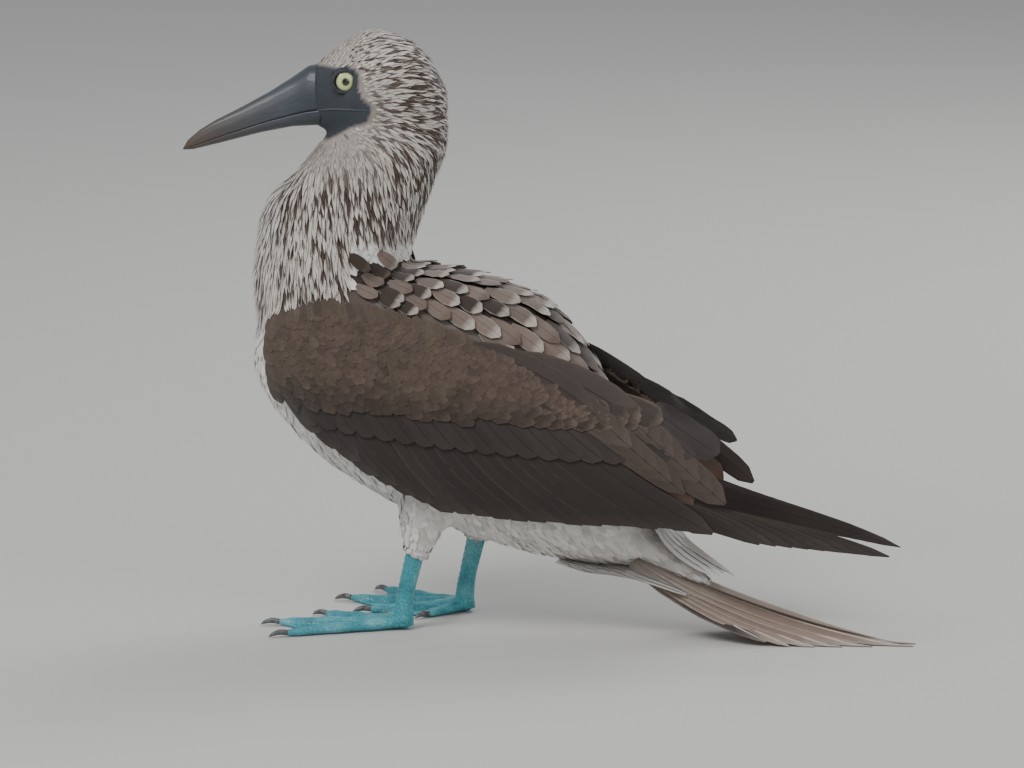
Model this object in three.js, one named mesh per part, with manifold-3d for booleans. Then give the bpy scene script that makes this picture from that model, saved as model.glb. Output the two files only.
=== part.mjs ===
// A blue footed booby standing with its neck drawn in, as a life-size still model.
// Millimetres, +Z up. The bird faces -X, its left side is towards -Y, and it stands on the plane Z = 0.
import * as THREE from "three";
import { mergeVertices } from "three/addons/utils/BufferGeometryUtils.js";
import Module from "manifold-3d";

const wasm = await Module();
wasm.setup();

// Driving dimensions
const GAP = 0.35; // clear space between nodes that touch
const HEAD_YAW = THREE.MathUtils.degToRad(15); // the head is turned a little to the bird's left
const HEAD_CENTRE = new THREE.Vector3(-42, 0, 352);
const EYE = { x: -22.7, y: 22.5, z: 15.4, radius: 8.2 }; // in the head's own frame, mirrored for the other eye
const BILL_TIP_X = -130.7;
const LEG = { y: 34, leftHeelX: -16, rightHeelX: 8, radius: 6.6 };
const TOE = { base: 5.2, tip: 2.6, web: 1.6 };
const TAIL = { rootX: 126, rootZ: 57, length: 208, pairs: 6, spread: 15, slope: 26, bend: 0.75 };
const WING_TIP = { x: 314, z: 66 };
const BILL_ROOT_X = -43.4; // the bill butts against the face here, in the head's own frame

const COLOURS = {
  plumage: 0xb9b0a8,
  white: 0xe6e3de,
  brown: 0x4a3d35,
  dark: 0x332c29,
  tail: 0x9a877a,
  scapular: 0x6e5d52,
  bill: 0x5d6670,
  feet: 0x4fa3b2,
  iris: 0xd8e0a0,
};

// Solids

function geometryOf(points, faces) {
  const positions = new Float32Array(points.flatMap((p) => [p.x, p.y, p.z]));
  const geometry = new THREE.BufferGeometry();
  geometry.setAttribute("position", new THREE.BufferAttribute(positions, 3));
  geometry.setIndex(faces.flat());
  return geometry;
}

function solidOf(geometry, weld = 1e-4) {
  const bare = new THREE.BufferGeometry();
  bare.setAttribute("position", geometry.getAttribute("position"));
  if (geometry.index) bare.setIndex(geometry.index);
  const merged = mergeVertices(bare, weld);
  const solid = new wasm.Manifold(
    new wasm.Mesh({
      numProp: 3,
      vertProperties: new Float32Array(merged.attributes.position.array),
      triVerts: new Uint32Array(merged.index.array),
    }),
  );
  if (solid.volume() > 0) return solid;
  const turned = merged.index.array.slice();
  for (let i = 0; i < turned.length; i += 3) [turned[i], turned[i + 1]] = [turned[i + 1], turned[i]];
  return new wasm.Manifold(
    new wasm.Mesh({
      numProp: 3,
      vertProperties: new Float32Array(merged.attributes.position.array),
      triVerts: new Uint32Array(turned),
    }),
  );
}

const union = (solids) => solids.reduce((whole, solid) => whole.add(solid));
const cut = (solid, ...cutters) => cutters.reduce((left, cutter) => left.subtract(cutter), solid);
const largest = (solid) =>
  solid.decompose().reduce((best, body) => (body.volume() > best.volume() ? body : best));

// Rings of equally many points, joined by quads and closed by a point at each end.
function loft(rings) {
  const sides = rings[0].length;
  const points = rings.flat();
  const faces = [];
  for (let r = 0; r + 1 < rings.length; r++)
    for (let s = 0; s < sides; s++) {
      const a = r * sides + s;
      const b = r * sides + ((s + 1) % sides);
      faces.push([a, b, b + sides], [a, b + sides, a + sides]);
    }
  const middle = (ring) => ring.reduce((sum, p) => sum.add(p), new THREE.Vector3()).divideScalar(sides);
  const last = (rings.length - 1) * sides;
  points.push(middle(rings[0]), middle(rings[rings.length - 1]));
  for (let s = 0; s < sides; s++) {
    faces.push([points.length - 2, (s + 1) % sides, s]);
    faces.push([points.length - 1, last + s, last + ((s + 1) % sides)]);
  }
  return solidOf(geometryOf(points, faces));
}

// Values at stations, smoothed by a Catmull-Rom curve and read off at even steps.
function smooth(stations, steps) {
  const keys = Object.keys(stations[0]);
  const curves = [];
  for (let k = 0; k < keys.length; k += 3)
    curves.push(
      new THREE.CatmullRomCurve3(
        stations.map((s) => new THREE.Vector3(s[keys[k]], s[keys[k + 1]] ?? 0, s[keys[k + 2]] ?? 0)),
        false,
        "centripetal",
      ),
    );
  return Array.from({ length: steps + 1 }, (_, i) => {
    const values = curves.flatMap((c) => c.getPoint(i / steps).toArray());
    return Object.fromEntries(keys.map((key, k) => [key, values[k]]));
  });
}

// A body of sections that stand square to a line in the XZ plane. lean is the section's own up direction,
// in degrees from +Z towards +X. up and down are its reach along lean, and wide its half width.
function fleshLoft(stations, { sides = 24, steps = 16, grow = 0, full = 2.2 } = {}) {
  const rings = smooth(stations, steps).map((s) => {
    const lean = THREE.MathUtils.degToRad(s.lean);
    const up = new THREE.Vector3(Math.sin(lean), 0, Math.cos(lean));
    return Array.from({ length: sides }, (_, i) => {
      const turn = (i / sides) * 2 * Math.PI;
      const c = Math.cos(turn);
      const d = Math.sin(turn);
      const round = (v) => Math.sign(v) * Math.abs(v) ** (2 / full);
      const reach = (c > 0 ? s.up : s.down) + grow;
      return new THREE.Vector3(s.x, 0, s.z)
        .addScaledVector(up, round(c) * reach)
        .add(new THREE.Vector3(0, round(d) * (s.wide + grow), 0));
    });
  });
  return loft(rings);
}

// A tapering round bar along a smooth line of points.
function bar(points, radii, { sides = 8, steps = 8, flat = 1 } = {}) {
  const curve = new THREE.CatmullRomCurve3(points.map((p) => new THREE.Vector3(...p)), false, "centripetal");
  const rings = Array.from({ length: steps + 1 }, (_, i) => {
    const t = i / steps;
    const at = curve.getPoint(t);
    const along = curve.getTangent(t);
    const across = new THREE.Vector3(0, 0, 1).cross(along);
    if (across.length() < 1e-3) across.set(0, 1, 0);
    across.normalize();
    const up = new THREE.Vector3().crossVectors(along, across).normalize();
    const place = t * (radii.length - 1);
    const low = Math.min(Math.floor(place), radii.length - 2);
    const radius = THREE.MathUtils.lerp(radii[low], radii[low + 1], place - low);
    return Array.from({ length: sides }, (_, s) => {
      const turn = ((s + 0.5) / sides) * 2 * Math.PI;
      return at
        .clone()
        .addScaledVector(across, Math.cos(turn) * radius)
        .addScaledVector(up, Math.sin(turn) * radius * flat);
    });
  });
  return loft(rings);
}

// Body: torso, neck and head as one form, parted afterwards

const TORSO = [
  { x: -118, z: 209, lean: 30, up: 18, down: 20, wide: 16 },
  { x: -106, z: 203, lean: 32, up: 42, down: 42, wide: 39 },
  { x: -78, z: 190, lean: 34, up: 66, down: 62, wide: 52 },
  { x: -36, z: 166, lean: 35, up: 90, down: 74, wide: 55 },
  { x: 10, z: 138, lean: 35, up: 104, down: 72, wide: 55 },
  { x: 54, z: 110, lean: 35, up: 88, down: 61, wide: 49 },
  { x: 92, z: 86, lean: 35, up: 60, down: 46, wide: 40 },
  { x: 122, z: 67, lean: 33, up: 34, down: 28, wide: 30 },
  { x: 140, z: 56, lean: 30, up: 17, down: 13, wide: 20 },
];

const NECK = [
  { x: -80, z: 200, lean: -90, up: 46, down: 50, wide: 44 },
  { x: -76, z: 228, lean: -90, up: 53, down: 52, wide: 45 },
  { x: -70, z: 258, lean: -92, up: 57, down: 53, wide: 42 },
  { x: -62, z: 288, lean: -96, up: 60, down: 58, wide: 40 },
  { x: -50, z: 314, lean: -100, up: 48, down: 56, wide: 38 },
  { x: -42, z: 336, lean: -100, up: 34, down: 46, wide: 34 },
];

const HEAD = [
  { x: -43, z: 3, lean: 0, up: 20.5, down: 20.5, wide: 16.5 },
  { x: -35, z: 3, lean: 0, up: 27.5, down: 24, wide: 21.5 },
  { x: -24, z: 2, lean: 0, up: 37, down: 30, wide: 27 },
  { x: -6, z: 0, lean: 0, up: 48, down: 40, wide: 34 },
  { x: 16, z: 0, lean: 0, up: 43, down: 44, wide: 36 },
  { x: 34, z: -4, lean: 0, up: 32, down: 36, wide: 30 },
  { x: 45, z: -10, lean: 0, up: 16, down: 20, wide: 16 },
];

const turnedHead = (solid) => {
  const place = new THREE.Matrix4()
    .makeRotationZ(HEAD_YAW)
    .setPosition(HEAD_CENTRE.x, HEAD_CENTRE.y, HEAD_CENTRE.z);
  return solid.transform(place.elements);
};

const bodyForm = (grow) => ({
  torso: fleshLoft(TORSO, { sides: 22, steps: 16, grow }),
  neck: fleshLoft(NECK, { sides: 20, steps: 8, grow }),
  head: turnedHead(fleshLoft(HEAD, { sides: 20, steps: 11, grow })),
});
const body = bodyForm(0);
const bodyClear = bodyForm(GAP);

// Wings: points are placed by x and z, and by their depth under the wing's outer surface

const WING_LINE = [
  { x: -112, upper: 204, lower: 184, half: 50 },
  { x: -96, upper: 219, lower: 162, half: 58 },
  { x: -72, upper: 226, lower: 141, half: 65 },
  { x: -28, upper: 222, lower: 112, half: 71 },
  { x: 24, upper: 207, lower: 88, half: 72 },
  { x: 98, upper: 176, lower: 83, half: 66 },
  { x: 154, upper: 148, lower: 82, half: 55 },
  { x: 210, upper: 107, lower: 76, half: 45 },
  { x: 262, upper: 87, lower: 71, half: 38 },
  { x: WING_TIP.x, upper: WING_TIP.z + 1, lower: WING_TIP.z - 1, half: 33 },
];

function wingAt(x) {
  const i = Math.max(0, Math.min(WING_LINE.length - 2, WING_LINE.findIndex((s) => s.x > x) - 1));
  const low = x >= WING_TIP.x ? WING_LINE.length - 2 : i;
  const a = WING_LINE[low];
  const b = WING_LINE[low + 1];
  const t = THREE.MathUtils.clamp((x - a.x) / (b.x - a.x), 0, 1);
  const mix = (key) => THREE.MathUtils.lerp(a[key], b[key], t);
  return { upper: mix("upper"), lower: mix("lower"), half: mix("half") };
}

// The outer surface bows: it leans in towards the back at its upper edge, and under at its lower one.
function wingPoint(side, x, z, depth) {
  const w = wingAt(x);
  const middle = (w.upper + w.lower) / 2 - 6;
  const reach = Math.max(30, (w.upper - w.lower) / 2);
  const share = THREE.MathUtils.clamp((z - middle) / reach, -1.4, 1.6);
  const bow = share > 0 ? 0.26 * share * share : 0.12 * share * share;
  return new THREE.Vector3(x, side * (w.half * (1 - bow) - depth), z);
}

// A feather vane in the wing's own coordinates: a spine of [x, z] points, its greatest half width, and the depth
// of its outer face at root and tip. The section is a flat diamond, split alike on both faces.
function wingVane(side, spine, halfWidth, depths, { thick = 1.6, rows = 6, blunt = 0.5, skew = 0 } = {}) {
  const curve = new THREE.SplineCurve(spine.map(([x, z]) => new THREE.Vector2(x, z)));
  const rings = Array.from({ length: rows + 1 }, (_, i) => {
    const t = i / rows;
    const at = curve.getPoint(t);
    const along = curve.getTangent(t);
    const wide = halfWidth * vaneShape(t, blunt);
    const depth = THREE.MathUtils.lerp(depths[0], depths[1], t);
    const body = thick * (1 - 0.55 * t);
    const off = (share, down) =>
      wingPoint(side, at.x - along.y * wide * share, at.y + along.x * wide * share, down);
    return [off(-1, depth + body * 0.55 + skew), off(0, depth), off(1, depth + body * 0.55 - skew), off(0, depth + body)];
  });
  return vaneSolid(rings);
}

// A vane's half width from root to tip, as a share of its greatest.
function vaneShape(t, blunt) {
  const swell = 0.45 + 0.55 * Math.min(1, t / 0.35);
  const tip = t < 0.6 ? 1 : Math.sqrt(Math.max(0, 1 - ((t - 0.6) / 0.4) ** 2));
  return Math.max(0.07, swell * (blunt * tip + (1 - blunt) * Math.min(1, (1 - t) / 0.5)));
}

// Rings of four points: one edge, the outer ridge, the other edge and the inner ridge.
function vaneSolid(rings) {
  const points = rings.flat();
  const faces = [];
  for (let r = 0; r + 1 < rings.length; r++) {
    const [edgeA, outer, edgeB, inner] = [0, 1, 2, 3].map((k) => r * 4 + k);
    const next = 4;
    faces.push([edgeA, outer, outer + next], [edgeA, outer + next, edgeA + next]);
    faces.push([outer, edgeB, outer + next], [edgeB, edgeB + next, outer + next]);
    faces.push([edgeB, inner, inner + next], [edgeB, inner + next, edgeB + next]);
    faces.push([inner, edgeA, inner + next], [edgeA, edgeA + next, inner + next]);
  }
  const last = (rings.length - 1) * 4;
  faces.push([0, 3, 2], [0, 2, 1], [last, last + 1, last + 2], [last, last + 2, last + 3]);
  return solidOf(geometryOf(points, faces));
}

// A slab of the wing between two edges, with an outer and an inner depth.
function wingSlab(side, from, to, edges, depths, { steps = 14, across = 5 } = {}) {
  const rings = Array.from({ length: steps + 1 }, (_, i) => {
    const x = THREE.MathUtils.lerp(from, to, i / steps);
    const [low, high] = edges(x);
    const outer = [];
    const inner = [];
    for (let k = 0; k <= across; k++) {
      const share = k / across;
      const z = THREE.MathUtils.lerp(low, high, share);
      const [out, into] = depths(x, z, share);
      const rim = k === 0 || k === across ? (out + into) / 2 : null;
      outer.push(wingPoint(side, x, z, rim ?? out));
      if (rim === null) inner.unshift(wingPoint(side, x, z, into));
    }
    return [...outer, ...inner];
  });
  return loft(rings);
}

// The line on which the small coverts end and the long feathers show, as a height at x.
const covertLine = (x) => THREE.MathUtils.lerp(168, 152, THREE.MathUtils.clamp((x + 100) / 210, 0, 1));
const PAD_END = 132; // x at which the covert pad runs out under the scapulars

// Depth at which the covert pad ends and the flight feathers begin.
function padDepth(x, z) {
  const above = THREE.MathUtils.clamp((z - covertLine(x)) / 34, 0, 1);
  const rear = THREE.MathUtils.clamp((PAD_END - x) / 60, 0, 1);
  return 1.4 + 5.2 * above * rear;
}
const FLIGHT_THICK = 5.5;

function coverts(side, grow) {
  const upper = (x) => wingAt(x).upper + grow;
  const pad = wingSlab(
    side,
    -112 - grow,
    PAD_END + grow,
    (x) => [Math.min(covertLine(x) - 3, upper(x) - 8) - grow, upper(x)],
    (x, z) => [-grow, padDepth(x, z) - GAP + grow],
    { steps: 10, across: 4 },
  );
  const vanes = [];
  const tiers = [
    { z: 16, count: 9, length: 33, half: 12, lift: -1.1 },
    { z: 36, count: 7, length: 31, half: 12, lift: -0.8 },
  ];
  for (const [k, tier] of tiers.entries())
    for (let i = 0; i < tier.count; i++) {
      const x = THREE.MathUtils.lerp(-88 + 6 * k, 96, i / (tier.count - 1));
      const z = covertLine(x) + tier.z - 4;
      if (z > upper(x) - 6) continue;
      const fall = THREE.MathUtils.lerp(-1.25, -0.55, i / (tier.count - 1));
      const reach = tier.length + 2 * grow;
      const root = [x - grow, z + grow];
      const end = [x + reach * Math.cos(fall), z + reach * Math.sin(fall)];
      const bend = [(x + end[0]) / 2 - 1, (z + end[1]) / 2 - 1];
      vanes.push(wingVane(side, [root, bend, end], tier.half + grow, [1.2 - grow, tier.lift - grow], {
        rows: 3,
        blunt: 0.9,
        thick: 1.7 + 2 * grow,
      }));
    }
  return union([pad, ...vanes]);
}

function secondaries(side, grow) {
  const slab = wingSlab(
    side,
    -104,
    196,
    (x) => [
      wingAt(x).lower + 9 - grow,
      Math.max(wingAt(x).lower + 16, wingAt(x).upper - 3 - Math.max(0, x - 150) * 0.1) + grow,
    ],
    (x, z) => [padDepth(x, z) + 0.2 - grow, padDepth(x, z) + FLIGHT_THICK - 1.5 + grow],
    { steps: 12, across: 3 },
  );
  const vanes = [];
  const SECONDARIES = 10;
  for (let i = 0; i < SECONDARIES; i++) {
    const t = i / (SECONDARIES - 1);
    const tipX = THREE.MathUtils.lerp(-62, 196, t ** 0.92);
    const tipZ = wingAt(tipX).lower - 1 + 2 * Math.sin(i * 2.1);
    const long = THREE.MathUtils.lerp(62, 128, t);
    const angle = THREE.MathUtils.lerp(0.98, 0.6, t);
    const root = [tipX - long * Math.cos(angle), tipZ + long * Math.sin(angle)];
    const bend = [(root[0] + tipX) / 2 - 4, (root[1] + tipZ) / 2 - 4];
    const under = padDepth(...bend);
    vanes.push(wingVane(side, [root, bend, [tipX, tipZ]], 12 + grow, [padDepth(...root) + 1.5 - grow, Math.min(1.4, under) - 0.6 - grow], {
      rows: 3,
      blunt: 0.75,
      thick: 2.6 + 2 * grow,
      skew: 0.35,
    }));
  }
  const TERTIALS = 4;
  for (let i = 0; i < TERTIALS; i++) {
    const t = i / (TERTIALS - 1);
    const tip = [THREE.MathUtils.lerp(212, 150, t), THREE.MathUtils.lerp(100, 150, t)];
    const root = [THREE.MathUtils.lerp(92, 58, t), THREE.MathUtils.lerp(166, 186, t)];
    const bend = [(root[0] + tip[0]) / 2 + 2, (root[1] + tip[1]) / 2 + 5];
    vanes.push(wingVane(side, [root, bend, tip], 13 + grow, [padDepth(...root) + 1.4 - grow, -0.4 + 0.5 * t - grow], {
      rows: 3,
      blunt: 0.8,
      thick: 2.8 + 2 * grow,
      skew: -0.3,
    }));
  }
  return union([slab, ...vanes]);
}

function primaries(side) {
  const under = (x, z) => padDepth(x, z) + FLIGHT_THICK + 0.2;
  const slab = wingSlab(
    side,
    120,
    250,
    (x) => [wingAt(x).lower + 3, Math.max(wingAt(x).lower + 8, Math.min(wingAt(x).upper - 5, 118))],
    (x, z) => [under(x, z) - Math.max(0, x - 214) * 0.05, under(x, z) + 3.2 - Math.max(0, x - 214) * 0.05],
    { steps: 6, across: 2 },
  );
  const vanes = [];
  const PRIMARIES = 6;
  for (let i = 0; i < PRIMARIES; i++) {
    const t = i / (PRIMARIES - 1);
    const tip = [WING_TIP.x - 15 * i, WING_TIP.z + 1.2 * i - 1];
    const root = [128 - 3 * i, THREE.MathUtils.lerp(94, 112, t)];
    const bend = [THREE.MathUtils.lerp(root[0], tip[0], 0.6), THREE.MathUtils.lerp(root[1], tip[1], 0.6) + 3.5];
    vanes.push(wingVane(side, [root, bend, tip], 9.5, [under(...root) + 1.4, 5.6 - 0.5 * i], {
      rows: 4,
      blunt: 0.35,
      thick: 2.4,
      skew: 0.25,
    }));
  }
  return union([slab, ...vanes]);
}

// Scapulars: rounded vanes that lie over the shoulder and the upper edge of the folded wing

// A surface to lay vanes on, read by rays from outside towards the body's middle line.
function surfaceReader(solids) {
  const meshes = solids.map((solid) => {
    const mesh = solid.getMesh();
    const geometry = new THREE.BufferGeometry();
    geometry.setAttribute("position", new THREE.BufferAttribute(new Float32Array(mesh.vertProperties), 3));
    geometry.setIndex(new THREE.BufferAttribute(new Uint32Array(mesh.triVerts), 1));
    return new THREE.Mesh(geometry, new THREE.MeshBasicMaterial({ side: THREE.DoubleSide }));
  });
  const ray = new THREE.Raycaster();
  return (from, towards) => {
    ray.set(from, towards.clone().sub(from).normalize());
    const hit = ray.intersectObjects(meshes, false)[0];
    return hit ? hit.point : null;
  };
}

// A point on the back by its place along the spine and its turn round it: 0 at the middle line, 90 level at the side.
const SPINE = { x0: -60, z0: 190, x1: 150, z1: 62 };
function backPoint(read, side, along, turn, lift) {
  const x = THREE.MathUtils.lerp(SPINE.x0, SPINE.x1, along);
  const z = THREE.MathUtils.lerp(SPINE.z0, SPINE.z1, along);
  const a = THREE.MathUtils.degToRad(turn);
  const out = new THREE.Vector3(0.56 * Math.cos(a), side * Math.sin(a), 0.83 * Math.cos(a)).normalize();
  const axis = new THREE.Vector3(x, 0, z);
  const hit = read(axis.clone().addScaledVector(out, 400), axis);
  return hit ? hit.addScaledVector(out, lift) : axis.addScaledVector(out, 60);
}

function backVane(read, side, root, tip, halfTurn, lifts, { rows = 5, thick = 1.8, blunt = 0.95 } = {}) {
  const rings = Array.from({ length: rows + 1 }, (_, i) => {
    const t = i / rows;
    const along = THREE.MathUtils.lerp(root[0], tip[0], t);
    const turn = THREE.MathUtils.lerp(root[1], tip[1], t);
    const wide = halfTurn * vaneShape(t, blunt);
    const lift = THREE.MathUtils.lerp(lifts[0], lifts[1], t);
    const at = (share, up) => backPoint(read, side, along, turn + share * wide, up);
    return [at(-1, lift), at(0, lift + thick * 0.6), at(1, lift), at(0, lift - thick * 0.4)];
  });
  return vaneSolid(rings);
}

// A curved plate over the shoulder, between two lifts above the surface that is read.
function shoulderPlate(read, side, lifts, margin) {
  const STEPS = 8;
  const ACROSS = 4;
  const rings = Array.from({ length: STEPS + 1 }, (_, i) => {
    const along = THREE.MathUtils.lerp(0.04 - margin, 0.8 + margin, i / STEPS);
    const low = THREE.MathUtils.lerp(66, 50, i / STEPS) + 40 * margin;
    const outer = [];
    const inner = [];
    for (let k = 0; k <= ACROSS; k++) {
      const turn = THREE.MathUtils.lerp(4, low, k / ACROSS);
      outer.push(backPoint(read, side, along, turn, lifts[1]));
      inner.unshift(backPoint(read, side, along, turn, lifts[0]));
    }
    return [...outer, ...inner];
  });
  return loft(rings);
}

function scapulars(side, read) {
  const vanes = [];
  const ROWS = [
    { turn: 13, first: 0.14, last: 0.6, count: 3 },
    { turn: 28, first: 0.06, last: 0.64, count: 5 },
    { turn: 44, first: 0.12, last: 0.56, count: 4 },
  ];
  for (const [r, row] of ROWS.entries())
    for (let i = 0; i < row.count; i++) {
      const along = THREE.MathUtils.lerp(row.first, row.last, i / (row.count - 1));
      const long = THREE.MathUtils.lerp(0.13, 0.26, i / (row.count - 1));
      vanes.push(
        backVane(read, side, [along, row.turn], [along + long, row.turn + 6 - r], 9.5, [3.6, 5.4], { rows: 4 }),
      );
    }
  return union([shoulderPlate(read, side, [1.8, 3.9], 0), ...vanes]);
}

const UNDER_FLOOR = new THREE.BoxGeometry(1200, 400, 60);
UNDER_FLOOR.translate(0, 0, -30);
const underFloor = solidOf(UNDER_FLOOR);

// Tail: pointed rectrices that fan out from the rump and lie down to the floor at their tips

function tailPoint(reach, swing, roof, lift) {
  const slope = THREE.MathUtils.degToRad(TAIL.slope);
  // The slope runs out along the tail, as stiff feathers bend when they are set down.
  const t = reach / TAIL.length;
  const run = reach * Math.cos(slope * (1 - 0.5 * TAIL.bend * t));
  const fall = TAIL.length * Math.sin(slope) * (t - 0.5 * TAIL.bend * t * t);
  const y = run * Math.sin(swing);
  return new THREE.Vector3(TAIL.rootX + run * Math.cos(swing), y, TAIL.rootZ - fall - Math.abs(y) * roof + lift);
}

function tail(grow) {
  const root = bar(
    [
      [TAIL.rootX - 14, 0, TAIL.rootZ + 5],
      [TAIL.rootX + 8, 0, TAIL.rootZ - 2.5],
      [TAIL.rootX + 30, 0, TAIL.rootZ - 10],
    ],
    [16 + grow, 15 + grow, 9 + grow],
    { sides: 10, steps: 3, flat: 0.42 },
  );
  const vanes = [];
  for (let i = 0; i < TAIL.pairs; i++)
    for (const side of [-1, 1]) {
      const share = i / (TAIL.pairs - 1);
      const length = TAIL.length * THREE.MathUtils.lerp(1, 0.56, share ** 0.8);
      const swing = side * THREE.MathUtils.degToRad(1.2 + TAIL.spread * share);
      const halfWidth = 9.5;
      const rows = 4;
      const lift = -1.3 * i + (side < 0 ? 0 : 0.5);
      const rings = Array.from({ length: rows + 1 }, (_, r) => {
        const t = r / rows;
        const wide = halfWidth * vaneShape(t, 0.3) + grow;
        const at = (across, up) => {
          const p = tailPoint(8 + t * (length - 8), swing, 0.18, lift * (1 - 0.75 * t) + up);
          return p.add(new THREE.Vector3(-Math.sin(swing) * across, Math.cos(swing) * across, 0));
        };
        const half = 0.5 + 0.6 * (1 - t) + grow;
        return [at(-wide, -0.4 * half), at(0, half), at(wide, -0.4 * half), at(0, -half)];
      });
      vanes.push(vaneSolid(rings));
    }
  return cut(union([root, ...vanes]), underFloor);
}

// White coverts over and under the tail's root
function tailCoverts(above) {
  const vanes = [];
  const count = above ? 7 : 5;
  const plinth = bar(
    above
      ? [[TAIL.rootX - 30, 0, TAIL.rootZ + 30], [TAIL.rootX - 4, 0, TAIL.rootZ + 17], [TAIL.rootX + 26, 0, TAIL.rootZ + 1]]
      : [[TAIL.rootX - 34, 0, TAIL.rootZ - 13], [TAIL.rootX - 6, 0, TAIL.rootZ - 20], [TAIL.rootX + 20, 0, TAIL.rootZ - 22]],
    above ? [24, 21, 9] : [22, 17, 8],
    { sides: 12, steps: 5, flat: above ? 0.4 : 0.3 },
  );
  for (let i = 0; i < count; i++) {
    const share = (2 * i) / (count - 1) - 1;
    const y = share * (above ? 18 : 14);
    const z = above ? TAIL.rootZ + 13 - 5 * share * share : TAIL.rootZ - 19 + 4 * share * share;
    const drop = above ? 20 : 5;
    const long = (above ? 56 : 44) * (1 - 0.2 * share * share);
    const rows = 4;
    const rings = Array.from({ length: rows + 1 }, (_, r) => {
      const t = r / rows;
      const wide = 9 * vaneShape(t, 0.95);
      const at = (across, up) =>
        new THREE.Vector3(TAIL.rootX - 6 + t * long, y * (1 + 0.25 * t) + across, z - drop * t + up);
      return [at(-wide, -0.3), at(0, 1.3), at(wide, -0.3), at(0, -1.2)];
    });
    vanes.push(vaneSolid(rings));
  }
  return union([plinth, ...vanes]);
}

// Bill and eyes, in the head's own frame

const MOUTH = [
  [-132, -34.2], [-119, -29.6], [-100, -22.6], [-75.5, -14.4], [-49.3, -6.8], [-30, -3.4], [-6, -3],
];
const CULMEN = [
  [-130.7, -33.2], [-127.5, -27.6], [-119.3, -20.6], [-109.3, -14.4], [-92.7, -6], [-72.7, 5], [-58, 14.4],
  [-46.5, 22.4], [-34, 24.2], [-20, 24.4], [-8, 21],
];
const CHIN = [
  [-129.6, -34], [-124, -33.8], [-106, -29.4], [-79.3, -22.4], [-58, -18.2], [-42, -17.2], [-30, -19.2], [-20, -21.6], [-6, -18],
];
const heightOn = (line, x) => {
  const i = Math.max(1, line.findIndex(([at]) => at >= x));
  const [a, b] = [line[i - 1], line[i]];
  return THREE.MathUtils.lerp(a[1], b[1], THREE.MathUtils.clamp((x - a[0]) / (b[0] - a[0]), 0, 1));
};
// Half width of the bill, and of the bare skin round its base, at x.
const BILL_WIDTH = [
  [-131, 1.4], [-124, 3], [-110, 5], [-90, 7.2], [-70, 9.4], [-54, 12.6], [-43, 16],
];

function billHalf(upperHalf, grow) {
  const SIDES = 12;
  const STEPS = 11;
  const rings = Array.from({ length: STEPS + 1 }, (_, i) => {
    const x = THREE.MathUtils.lerp(BILL_TIP_X, BILL_ROOT_X, (i / STEPS) ** 1.05);
    const wide = heightOn(BILL_WIDTH, x) + grow;
    const mouth = heightOn(MOUTH, x);
    const top = upperHalf ? heightOn(CULMEN, x) + grow : mouth - 0.2 + grow;
    const bottom = upperHalf ? mouth + 0.2 - grow : heightOn(CHIN, x) - grow;
    const middle = (top + bottom) / 2;
    const reach = Math.max(0.35, (top - bottom) / 2);
    return Array.from({ length: SIDES }, (_, s) => {
      const turn = ((s + 0.5) / SIDES) * 2 * Math.PI;
      const c = Math.cos(turn);
      const d = Math.sin(turn);
      const square = upperHalf ? (d < 0 ? 0.35 : 1) : d > 0 ? 0.35 : 1;
      return new THREE.Vector3(x, wide * Math.sign(c) * Math.abs(c) ** 0.8, middle + reach * Math.sign(d) * Math.abs(d) ** square);
    });
  });
  return loft(rings);
}

function eyeball(side, radius) {
  const ball = new THREE.SphereGeometry(radius, 12, 8);
  ball.scale(1, 0.75, 1);
  ball.rotateZ(side * -0.2);
  ball.translate(EYE.x, side * EYE.y, EYE.z);
  return turnedHead(solidOf(ball));
}

// A ring of lid round the eye
function eyeLid(side) {
  const ring = new THREE.TorusGeometry(EYE.radius - 0.6, 1.5, 5, 12);
  ring.rotateX(Math.PI / 2);
  ring.rotateZ(side * -0.2);
  ring.translate(EYE.x, side * (EYE.y + 3.9), EYE.z);
  return turnedHead(solidOf(ring));
}

// A groove along the side of the face that carries the line of the mouth on behind the bill
const GROOVE = { from: -46, to: -6, half: 0.45, deep: 1.3 };
function mouthGroove(side) {
  const STEPS = 5;
  const face = smooth(HEAD, 24);
  const rings = Array.from({ length: STEPS + 1 }, (_, i) => {
    const x = THREE.MathUtils.lerp(GROOVE.from, GROOVE.to, i / STEPS);
    const z = heightOn(MOUTH, x);
    const at = face.reduce((best, s) => (Math.abs(s.x - x) < Math.abs(best.x - x) ? s : best));
    const share = Math.min(0.95, Math.abs(z - at.z) / at.down);
    const wide = at.wide * (1 - share ** 2.2) ** (1 / 2.2);
    const deep = GROOVE.deep * (1 - 0.6 * (i / STEPS));
    return [[-deep, -1], [6, -1], [6, 1], [-deep, 1]].map(
      ([out, up]) => new THREE.Vector3(x, side * (wide + out), z + up * GROOVE.half),
    );
  });
  return turnedHead(loft(rings));
}

// Legs and webbed feet

function tarsus(side, grow) {
  const x = side < 0 ? LEG.leftHeelX : LEG.rightHeelX;
  return bar(
    [
      [x - 1, side * LEG.y, 3 - grow],
      [x + 1, side * LEG.y, 22],
      [x + 7, side * LEG.y, 48],
      [x + 14, side * (LEG.y - 2), 76 + grow],
    ],
    [LEG.radius + 0.8 + grow, LEG.radius - 0.4 + grow, LEG.radius + grow, LEG.radius + grow],
    { sides: 10, steps: 6 },
  );
}

function thigh(side, grow) {
  const x = side < 0 ? LEG.leftHeelX : LEG.rightHeelX;
  return bar(
    [
      [x + 6, side * (LEG.y - 0.5), 49],
      [x + 10, side * (LEG.y - 1), 60],
      [x + 14, side * (LEG.y - 4), 82],
      [x + 26, side * (LEG.y - 10), 112],
    ],
    [9.5 + grow, 14 + grow, 21 + grow, 28 + grow],
    { sides: 12, steps: 5 },
  );
}

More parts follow.
